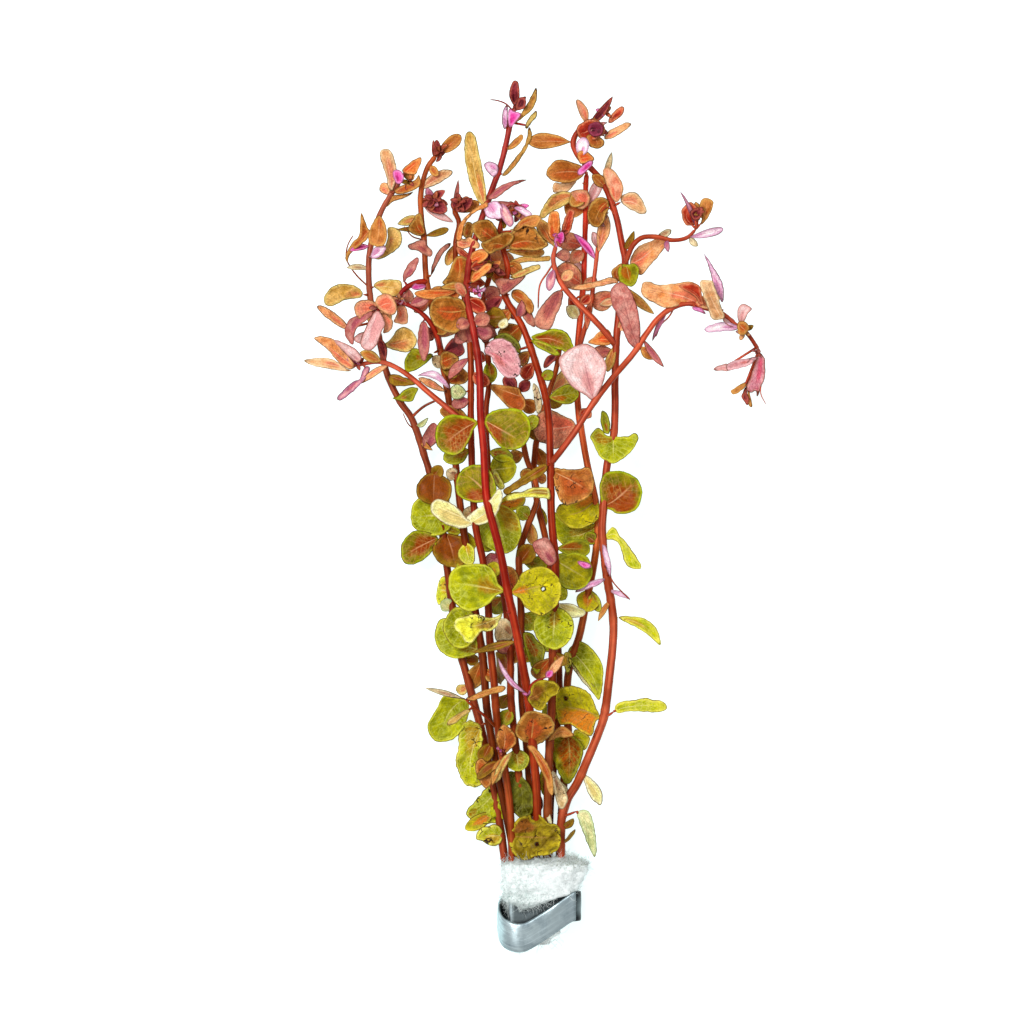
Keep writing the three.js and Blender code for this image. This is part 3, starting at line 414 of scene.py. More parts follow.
# The stems and the shoots on them: width in pixels, then the column, row and height in mm of each point.
stems = {
    "stem_1": [8.2, [507,893,4.4, 504,858,4.6, 488,760,5.3, 470,690,6.6, 457,640,7, 447,570,7, 437,500,7,
     424,456,7, 411,418,7, 400,402,7.5, 386,372,8, 378,335,8, 370,300,8, 368,262,8.5, 372,235,9, 381,210,10,
     393,190,11, 400,180,12]],
    "stem_2": [8.2, [517,893,4.5, 514,858,4.8, 499,780,8.4, 487,710,10, 483,660,10, 475,610,10, 468,560,10,
     460,505,10, 453,440,10, 449,403,10, 441,354,10.5, 436,329,11, 426,278,11, 424,240,11, 421,215,11.5,
     421,190,12, 427,168,12.5, 436,155,13]],
    "stem_3": [8, [509,893,8, 512,858,8.3, 509,800,10, 504,765,12.5, 497,720,16, 494,680,18.5, 490,640,20,
     488,600,20, 483,560,20, 476,527,20, 472,460,20, 471,416,20, 471,358,20, 468,325,18, 463,290,16,
     456,262,14.5, 456,240,13.5, 459,222,13.5, 453,209,13.5]],
    "stem_4": [8.8, [534,893,8.1, 536,858,8.6, 537,800,11, 534,760,14.5, 528,697,20, 520,650,23.5,
     514,620,25, 508,592,26, 501,555,26, 494,527,26, 487,499,26, 484,449,26, 481,416,26, 480,375,26,
     477,350,25.5, 472,324,24, 467,296,22, 470,262,20, 478,232,19, 487,205,18, 494,185,17, 501,165,16.5,
     506,145,16, 510,125,15.5, 514,108,15.5]],
    "stem_5": [7.6, [527,893,4.4, 526,858,4.6, 521,800,7, 516,750,10, 511,700,13, 510,650,14, 505,600,14,
     499,555,14, 492,505,14, 487,450,14, 486,410,14, 489,383,14, 487,345,13, 482,310,12, 487,285,12,
     495,262,13]],
    "stem_6": [8, [538,893,4.4, 536,858,4.6, 531,800,4.8, 527,750,6, 522,700,8.5, 521,650,10.5, 521,610,11,
     519,570,11, 520,550,11, 528,525,11.5, 537,500,12, 535,480,12, 527,460,12, 523,440,12, 520,415,12,
     518,392,12.5]],
    "stem_7": [8, [549,893,4.3, 549,858,4.4, 551,800,4.4, 556,745,4.6, 559,700,4.8, 559,665,5, 556,620,5.5,
     551,580,6, 546,540,6, 538,505,6.5, 534,475,7, 536,445,8, 541,422,9, 548,395,10, 556,370,11,
     560,345,12]],
    "stem_8": [8.8, [547,893,8, 547,858,8.3, 548,800,9.6, 549,760,11.5, 551,720,14.5, 552,690,16.5,
     553,650,19, 554,610,20.5, 555,570,21, 551,512,21, 550,458,21, 547,406,21, 535,362,21, 523,329,20,
     504,293,18.5, 508,270,17.5, 503,250,17, 500,232,16.5, 503,218,16.5]],
    "stem_9": [8, [560,893,4.3, 560,858,4.4, 563,800,4.6, 568,745,5.2, 568,700,6.6, 568,680,7.6,
     572,660,8.6, 580,635,9.5, 587,600,9.5, 595,560,9.5, 598,530,9.5, 595,497,9.5, 588,466,9.5, 583,438,9.5,
     578,403,9.5, 578,346,9.5, 581,312,9.5, 584,277,9.5, 585,243,9.5, 586,209,10, 586,184,11,
     587,172,11.5]],
    "stem_10": [8.8, [561,893,7.9, 561,858,8.3, 562,820,9, 568,800,9.5, 577,785,10, 588,760,11, 598,735,12,
     604,717,13, 609,680,14, 613,640,15, 613,617,15, 606,570,15, 602,530,15, 603,512,15, 607,465,15,
     614,432,15, 615,381,15, 616,346,15, 620,300,15, 625,262,15, 621,240,15, 617,220,15, 613,207,15,
     604,185,15, 592,170,15.5, 581,160,16, 573,145,16, 578,132,16, 588,128,16.5]],
}
shoots = {
    "shoot_arch": [6.4, [551,463,21, 560,452,23, 574,433,24.5, 592,405,25, 611,380,25, 633,354,25,
     644,337,24.5, 657,320,24, 672,309,23, 688,305,22, 703,309,21, 722,315,19, 738,328,17, 746,333,16,
     759,350,13]],
    "shoot_bend": [6.4, [615,345,15, 606,334,17.5, 592,319,19.5, 578,305,20, 564,289,20, 556,274,20,
     553,260,20, 556,246,20]],
    "shoot_curl": [5.4, [625,264,15, 628,256,17.6, 632,247,19, 641,239,19, 657,238,18, 672,241,17,
     687,238,16, 696,229,15]],
    "shoot_left": [6, [471,430,20, 463,422,21.5, 454,414,21.5, 429,393,19, 409,376,17, 393,366,16,
     380,362,15, 356,365,14]],
    "shoot_short": [6, [426,281,11, 418,282,13.5, 409,286,14.5, 402,292,15, 398,299,15]],
    "shoot_fan": [5.2, [440,349,10.6, 437,336,13.4, 428,320,15, 417,310,16, 404,304,17, 392,303,17,
     380,308,17.5]],
    "shoot_thin": [5, [578,352,9.5, 583,335,12, 590,310,13, 594,280,13.5, 598,245,13.5, 600,222,13.5]],
}

# Twigs, in the same way.
twigs = [
    ["stem_1", 3, [411,417,7, 417,411,8, 425,405,8.5, 438,399,9]],
    ["stem_3", 3, [496,727,15.5, 486,716,19, 474,706,20, 465,698,20]],
    ["stem_4", 3.4, [528,698,20, 530,686,23, 535,680,24.5, 545,676,25]],
    ["stem_10", 2.8, [562,818,9, 570,815,10.5, 577,812,11]],
    ["stem_10", 2.8, [604,716,13, 609,715,14, 614,711,15]],
]

# Small leaves by what they grow from: the column and row of the base and of the tip, the width in
# pixels, the rise to the tip in mm, the roll in degrees, the form, the colour, and for some a bend in mm.
smallLeaves = {
    "stem_1": [
        [449,592, 436,590, 30, -2, 0, "round", "yellow"], [422,452, 434,422, 16, 3, 20, "oval", "rose"],
        [419,436, 432,450, 7, 2, 20, "lance", "copper"], [417,428, 428,417, 6, 2, 30, "lance", "mint"],
        [369,246, 350,250, 8, 4, 20, "oval", "magenta"], [368,268, 346,267, 7, 2, 20, "lance", "ash"],
        [378,336, 353,339, 13, 2, 0, "oval", "pale"], [430,480, 441,466, 14, 2, 10, "oval", "rust"],
        [452,612, 440,602, 14, 1, 10, "oval", "mint"], [371,300, 384,324, 26, -9, 0, "round", "amber"],
        [441,520, 430,492, 30, -8, 0, "round", "lime"], [496,815, 465,832, 15, -1, 0, "oval", "old"],
        [392,197, 381,182, 11, -2, 0, "oval", "salmon"], [464,658, 479,662, 12, -3, 0, "oval", "rust"],
        [469,686, 457,694, 12, -2, 0, "oval", "gold"], [443,526, 460,533, 10, -2, 0, "oval", "lime"],
    ],
    "stem_2": [
        [466,541, 470,565, 18, 3, 20, "oval", "yellow"], [440,353, 456,378, 16, 2, 10, "oval", "rust"],
        [427,284, 412,288, 8, 5, 20, "oval", "magenta"], [421,196, 448,212, 17, 3, 0, "oval", "maroon"],
        [436,155, 461,136, 14, 2, 10, "long", "copper"], [422,232, 397,229, 6, 3, 20, "lance", "rust"],
        [421,202, 453,222, 9, 1, 20, "lance", "pale"], [434,157, 433,140, 5, 2, 20, "lance", "maroon"],
        [430,163, 439,176, 9, 2, 20, "oval", "copper"], [424,236, 449,228, 8, 2, 20, "long", "rust"],
        [435,157, 445,146, 11, 1, 0, "oval", "maroon"], [428,290, 452,296, 15, 3, 10, "oval", "copper"],
        [433,315, 447,335, 18, 3, 10, "oval", "bronze"], [436,329, 421,338, 16, 2, 10, "oval", "dusky"],
        [463,520, 478,506, 18, 2, 10, "oval", "ash"], [492,742, 481,764, 16, 2, 10, "oval", "rust"],
        [484,668, 497,680, 14, 2, 10, "oval", "bronze"], [457,480, 446,470, 14, 2, 10, "oval", "ash"],
        [470,575, 458,562, 18, 1, 10, "oval", "lime"], [428,300, 414,312, 12, 3, 10, "oval", "blushed"],
        [445,370, 433,356, 13, 2, 10, "oval", "ash"], [438,340, 452,312, 28, -11, 0, "round", "copper"],
        [470,575, 482,600, 30, -10, 0, "round", "lime"], [441,352, 464,343, 20, -6, 0, "oval", "maroon"],
        [446,384, 464,370, 22, -5, 0, "oval", "bronze"], [484,660, 470,690, 18, -6, 0, "oval", "bronze"],
        [420,216, 397,224, 10, 1, 0, "lance", "gold"], [464,530, 474,548, 10, -3, 0, "oval", "old"],
    ],
    "stem_3": [
        [454,211, 461,197, 15, 2, 0, "round", "maroon"], [505,762, 477,778, 13, 2, 30, "oval", "rust"],
        [503,758, 492,784, 9, 3, 20, "lance", "copper"], [472,450, 444,460, 20, 2, 0, "oval", "olive"],
        [454,212, 472,200, 12, 4, 20, "oval", "maroon"], [452,211, 458,180, 5, 2, 20, "lance", "rose"],
        [470,330, 456,345, 14, 2, 10, "oval", "rose"], [466,699, 425,687, 6, 2, 10, "lance", "ash"],
        [471,356, 449,379, 12, 2, 30, "oval", "rose"], [458,245, 476,264, 8, 6, 20, "lance", "coral"],
        [470,346, 463,320, 22, 3, 10, "oval", "dusky"],
        [463,292, 414,296, 11, 4, 10, "long", "orange", -0.8],
        [470,372, 490,386, 15, 2, 10, "oval", "coral"], [470,418, 440,411, 15, 0, 10, "oval", "bronze"],
        [471,400, 452,408, 14, 2, 20, "oval", "rose"], [471,480, 459,492, 14, 2, 10, "oval", "lime"],
        [486,578, 497,562, 16, 1, 10, "oval", "old"], [462,285, 447,300, 15, 1, 10, "oval", "orange"],
        [471,350, 486,362, 12, 1, 10, "oval", "coral"], [458,212, 479,202, 12, -2, 0, "oval", "copper"],
        [456,242, 447,264, 10, -3, 0, "oval", "amber"],
    ],
    "stem_4": [
        [468,300, 487,312, 16, 2, 20, "oval", "coral"], [474,330, 492,336, 16, -2, 20, "oval", "rose"],
        [513,111, 525,99, 11, 3, 10, "oval", "maroon"], [489,203, 522,206, 7, 2, 20, "lance", "rose"],
        [469,270, 491,266, 13, 3, 0, "oval", "coral"], [470,262, 488,254, 13, 4, 0, "round", "coral"],
        [466,290, 479,294, 6, 3, 20, "lance", "magenta"],
        [529,692, 499,657, 6, 4, 10, "lance", "lilac", -1.8],
        [467,290, 440,291, 9, 4, 20, "lance", "amber"], [544,676, 563,654, 9, 1, 10, "lance", "salmon"],
        [471,262, 487,256, 13, 6, 0, "round", "orange"], [471,270, 498,271, 9, 5, 20, "oval", "maroon"],
        [472,325, 490,318, 16, 1, 10, "oval", "dusky"], [545,677, 552,669, 7, 2, 0, "oval", "magenta"],
        [517,640, 474,652, 8, -4, 10, "lance", "rust"], [468,300, 455,286, 12, 3, 30, "oval", "blushed"],
        [471,322, 457,330, 14, 2, 10, "oval", "dusky"],
    ],
    "stem_5": [
        [517,748, 519,772, 25, 2, 0, "round", "lime"], [497,537, 478,545, 24, -2, 0, "round", "olive"],
        [499,553, 486,567, 16, 2, 0, "round", "rose"], [487,452, 514,458, 15, 2, 0, "oval", "olive"],
        [488,360, 492,384, 14, 2, 0, "oval", "olive"], [485,300, 500,288, 18, 3, 10, "oval", "dusky"],
        [505,602, 507,566, 27, -3, 0, "round", "bronze"], [510,655, 497,640, 16, 2, 10, "oval", "dusky"],
        [513,708, 502,726, 16, 2, 10, "oval", "olive"], [490,430, 500,412, 14, 2, 10, "oval", "rust"],
        [490,275, 478,262, 16, 2, 10, "oval", "coral"], [489,280, 505,250, 28, -13, 0, "oval", "copper"],
        [510,668, 495,668, 34, -7, 0, "round", "rust"], [493,508, 525,497, 18, -6, 0, "oval", "old"],
        [505,598, 491,612, 20, -6, 0, "round", "olive"], [511,694, 499,708, 14, -5, 0, "oval", "rust"],
        [487,283, 470,281, 12, -3, 0, "oval", "coral"],
    ],
    "stem_6": [
        [520,562, 533,545, 20, 2, 0, "round", "rust"], [518,392, 530,381, 12, 2, 0, "oval", "maroon"],
        [531,520, 517,508, 16, 2, 10, "oval", "lime"], [534,480, 520,472, 14, 2, 10, "oval", "bronze"],
        [521,640, 509,664, 20, 2, 10, "oval", "bronze"], [530,790, 541,812, 14, 2, 10, "oval", "dusky"],
        [522,430, 538,416, 15, 2, 10, "oval", "lime"], [521,662, 534,646, 18, 3, 10, "oval", "olive"],
        [520,418, 506,428, 14, 2, 10, "oval", "olive"], [519,570, 532,596, 30, -12, 0, "round", "olive"],
        [521,612, 536,628, 22, -4, 0, "round", "lime"], [521,560, 546,566, 16, -5, 0, "oval", "olive"],
        [525,452, 510,458, 14, -3, 0, "oval", "bronze"], [529,520, 533,545, 12, -4, 0, "oval", "amber"],
        [519,398, 536,410, 16, -3, 0, "oval", "copper"], [518,390, 505,376, 14, -2, 0, "oval", "maroon"],
    ],
    "stem_7": [
        [541,422, 531,438, 20, -1, 0, "oval", "rust"], [558,352, 544,367, 10, 3, 30, "oval", "maroon"],
        [551,580, 566,600, 18, 2, 10, "oval", "lime"], [556,622, 570,636, 20, 3, 10, "oval", "lime"],
        [559,700, 546,724, 18, 2, 10, "oval", "olive"], [552,780, 568,800, 16, 2, 10, "oval", "cream"],
        [548,395, 562,404, 16, 2, 10, "oval", "rust"], [557,640, 543,652, 14, 3, 10, "oval", "lime"],
        [549,392, 578,376, 28, -11, 0, "oval", "gold"], [559,690, 574,722, 30, -6, 0, "round", "old"],
        [551,580, 574,560, 32, -7, 0, "round", "olive"], [537,446, 545,466, 14, -3, 0, "oval", "bronze"],
        [539,502, 545,526, 10, -3, 0, "oval", "old"], [535,476, 547,480, 11, -2, 0, "oval", "copper"],
    ],
    "stem_8": [
        [547,400, 579,392, 20, -3, 10, "oval", "olive"], [555,603, 585,613, 15, -4, 30, "oval", "cream"],
        [518,320, 522,302, 10, 3, 20, "lance", "rose"], [508,300, 516,318, 13, -4, 20, "oval", "maroon"],
        [536,363, 523,380, 15, -3, 10, "oval", "coral"], [548,812, 552,827, 5, 2, 20, "lance", "cream"],
        [553,650, 566,664, 12, 2, 10, "oval", "rust"], [500,235, 489,246, 12, 3, 20, "oval", "amber"],
        [503,262, 522,274, 16, 1, 20, "oval", "copper"], [512,308, 500,322, 14, 0, 10, "oval", "copper"],
        [540,380, 553,372, 12, 2, 10, "oval", "olive"], [503,252, 524,232, 26, -18, 0, "oval", "amber"],
        [521,326, 503,341, 24, -6, 0, "round", "bronze"], [504,253, 545,252, 12, -4, 0, "long", "amber"],
        [553,548, 588,549, 20, -8, 0, "oval", "olive"], [552,655, 534,678, 18, -7, 0, "oval", "bronze"],
        [504,297, 486,309, 14, -4, 0, "oval", "maroon"], [530,350, 518,364, 14, -6, 0, "oval", "bronze"],
    ],
    "stem_9": [
        [590,588, 587,613, 24, 2, 0, "round", "old"], [586,190, 570,206, 16, 3, 0, "oval", "amber"],
        [586,205, 601,176, 12, 3, 20, "oval", "pale"], [568,742, 556,760, 20, 2, 10, "oval", "rust"],
        [577,420, 590,408, 14, 2, 20, "oval", "coral"], [585,250, 571,262, 14, 2, 10, "oval", "blushed"],
        [596,545, 584,534, 14, 3, 10, "oval", "blush"], [590,590, 600,612, 12, 2, 10, "oval", "lime"],
        [578,380, 566,368, 14, 2, 10, "oval", "pale"], [580,318, 566,306, 14, 3, 10, "oval", "cream"],
        [583,290, 596,276, 13, 3, 10, "oval", "blushed"], [586,224, 600,202, 24, -11, 0, "oval", "copper"],
        [584,290, 568,262, 28, -10, 0, "round", "pale"], [584,246, 560,238, 20, -3, 0, "oval", "blushed"],
        [586,212, 566,200, 26, -1, 0, "round", "copper"],
    ],
    "stem_10": [
        [573,141, 528,143, 17, 2, 10, "long", "copper"], [587,128, 577,101, 10, 2, 20, "oval", "blushed"],
        [589,128, 612,98, 9, 4, 20, "lance", "maroon"], [615,343, 607,372, 10, 1, 20, "oval", "amber"],
        [563,832, 574,820, 9, 1, 30, "oval", "rust"], [563,847, 575,830, 7, 1, 50, "oval", "rust"],
        [607,602, 598,621, 6, 2, 20, "lance", "copper"], [622,285, 655,314, 10, 2, 20, "lance", "amber"],
        [619,300, 600,305, 9, -2, 20, "lance", "peach"], [602,180, 611,153, 7, 2, 20, "lance", "ash"],
        [622,250, 634,232, 8, 2, 20, "lance", "rust"], [617,330, 630,318, 12, 2, 10, "oval", "salmon"],
        [605,187, 592,176, 12, 3, 10, "oval", "copper"], [614,349, 593,353, 14, -3, 0, "oval", "dusky"],
        [619,292, 594,304, 20, -5, 0, "oval", "blushed"],
    ],
    "shoot_arch": [
        [644,341, 664,368, 8, 2, 30, "lance", "rose"], [666,314, 651,342, 5, -2, 20, "lance", "mauve"],
        [744,332, 738,333, 8, 2, 0, "oval", "copper"], [640,347, 654,359, 12, -1, 20, "oval", "copper"],
        [690,305, 718,300, 15, 2, 20, "oval", "salmon"], [737,327, 722,320, 9, 2, 20, "oval", "pale"],
    ],
    "shoot_bend": [
        [555,249, 563,233, 10, 4, 0, "oval", "magenta"], [554,268, 549,293, 10, 2, 20, "oval", "mauve"],
        [553,258, 570,256, 13, -3, 0, "oval", "dusky"], [578,305, 590,296, 11, 2, 20, "oval", "coral"],
        [560,283, 572,272, 12, 1, 20, "oval", "salmon"], [554,250, 538,220, 14, -3, 0, "oval", "amber"],
    ],
    "shoot_curl": [
        [686,238, 722,228, 9, -2, 20, "long", "lilac"], [688,237, 697,247, 7, 1, 20, "oval", "ash"],
        [665,240, 668,254, 6, 2, 20, "lance", "mauve"], [656,238, 671,231, 8, -1, 20, "oval", "ash"],
        [689,224, 681,193, 5, 4, 20, "lance", "mauve"],
    ],
    "shoot_left": [
        [388,364, 360,384, 8, -1, 20, "lance", "salmon"], [382,362, 361,353, 12, 3, 10, "oval", "amber"],
        [386,364, 379,339, 9, -1, 20, "oval", "maroon"], [358,365, 347,358, 7, 3, 0, "oval", "magenta"],
    ],
    "shoot_short": [
        [400,297, 402,306, 7, 3, 20, "oval", "mauve"], [408,287, 409,302, 11, -3, 0, "oval", "dusky"],
    ],
    "shoot_fan": [
        [408,305, 430,298, 12, 3, 10, "oval", "rose"],
    ],
    "shoot_thin": [
        [597,262, 573,234, 9, 2, 20, "lance", "magenta"], [599,228, 604,206, 9, 1, 20, "oval", "salmon"],
        [597,250, 592,232, 9, 2, 20, "oval", "pale"], [591,300, 587,330, 8, 1, 20, "lance", "coral"],
        [598,258, 606,214, 14, 1, 20, "long", "salmon"],
    ],
}

# Crowns of young curled leaves: where they grow, their middle, radius in pixels, how many, their colours.
crowns = [
    ["stem_4", 519, 103, 8, 6, ["roseRed", "magenta", "maroon"]],
    ["stem_2", 440, 152, 11, 8, ["maroon", "maroon", "coral"]],
    ["stem_2", 434, 200, 16, 10, ["maroon", "maroon", "coral", "mauve"]],
    ["stem_3", 461, 203, 13, 9, ["maroon", "maroon", "coral"]],
    ["stem_10", 597, 130, 13, 9, ["maroon", "roseRed", "maroon", "copper"]],
    ["stem_10", 605, 114, 10, 6, ["coral", "magenta", "blushed"]],
    ["shoot_curl", 698, 214, 11, 8, ["maroon", "copper"]],
    ["shoot_bend", 560, 237, 12, 8, ["maroon", "magenta", "maroon"]],
    ["stem_1", 409, 181, 11, 8, ["maroon", "rust", "orange"]],
    ["stem_4", 492, 268, 16, 10, ["maroon", "orange", "rust", "rose"]],
    ["stem_4", 478, 293, 10, 6, ["magenta", "maroon", "lilac"]],
    ["stem_4", 517, 213, 15, 9, ["orange", "magenta", "maroon", "copper"]],
    ["shoot_short", 400, 300, 10, 6, ["blushed", "rose"]],
    ["shoot_fan", 378, 309, 9, 6, ["blushed", "rose", "maroon"]],
    ["shoot_left", 357, 364, 8, 6, ["magenta", "maroon"]],
    ["shoot_arch", 744, 332, 10, 7, ["salmon", "pale", "rust"]],
    ["shoot_arch", 757, 352, 7, 5, ["rose", "maroon"]],
    ["shoot_thin", 600, 222, 8, 6, ["salmon", "pale"]],
    ["stem_8", 503, 220, 10, 7, ["rust", "maroon", "copper"]],
    ["stem_3", 502, 748, 9, 7, ["maroon", "magenta", "rust"]],
    ["stem_2", 482, 775, 7, 5, ["rust", "pale", "maroon"]],
    ["stem_4", 529, 694, 7, 5, ["magenta", "maroon"]],
    ["stem_9", 564, 815, 7, 5, ["rust", "yellow"]],
]

# Bare hairs and leaf stalks: where they grow, width in pixels, their points as columns, rows and heights.
hairs = [
    ["stem_4", 1.8, [512,112,15.5, 506,105,17, 498,102,17.5, 490,101,18]],
    ["stem_1", 1.9, [366,288,8.5, 354,272,9.5, 346,258,10, 347,245,10.5, 353,234,11]],
    ["shoot_bend", 2.2, [554,266,20, 547,274,18, 540,285,16.5, 538,309,15]],
    ["shoot_arch", 1.9, [672,309,23, 668,318,22, 660,326,21, 655,338,20]],
    ["shoot_arch", 1.5, [758,350,13, 764,372,10, 762,392,8, 768,404,6]],
    ["stem_10", 1.5, [616,216,15, 607,208,17, 600,214,18]],
    ["stem_10", 1.8, [607,566,15, 613,582,17, 624,594,17.5, 630,600,17]],
    ["stem_2", 1.7, [424,240,11, 412,236,13, 404,226,13.5]],
    ["stem_1", 1.6, [418,430,7, 408,424,8, 402,412,8.5]],
    ["stem_4", 1.7, [487,208,18, 500,212,21, 512,206,22, 524,209,22]],
]

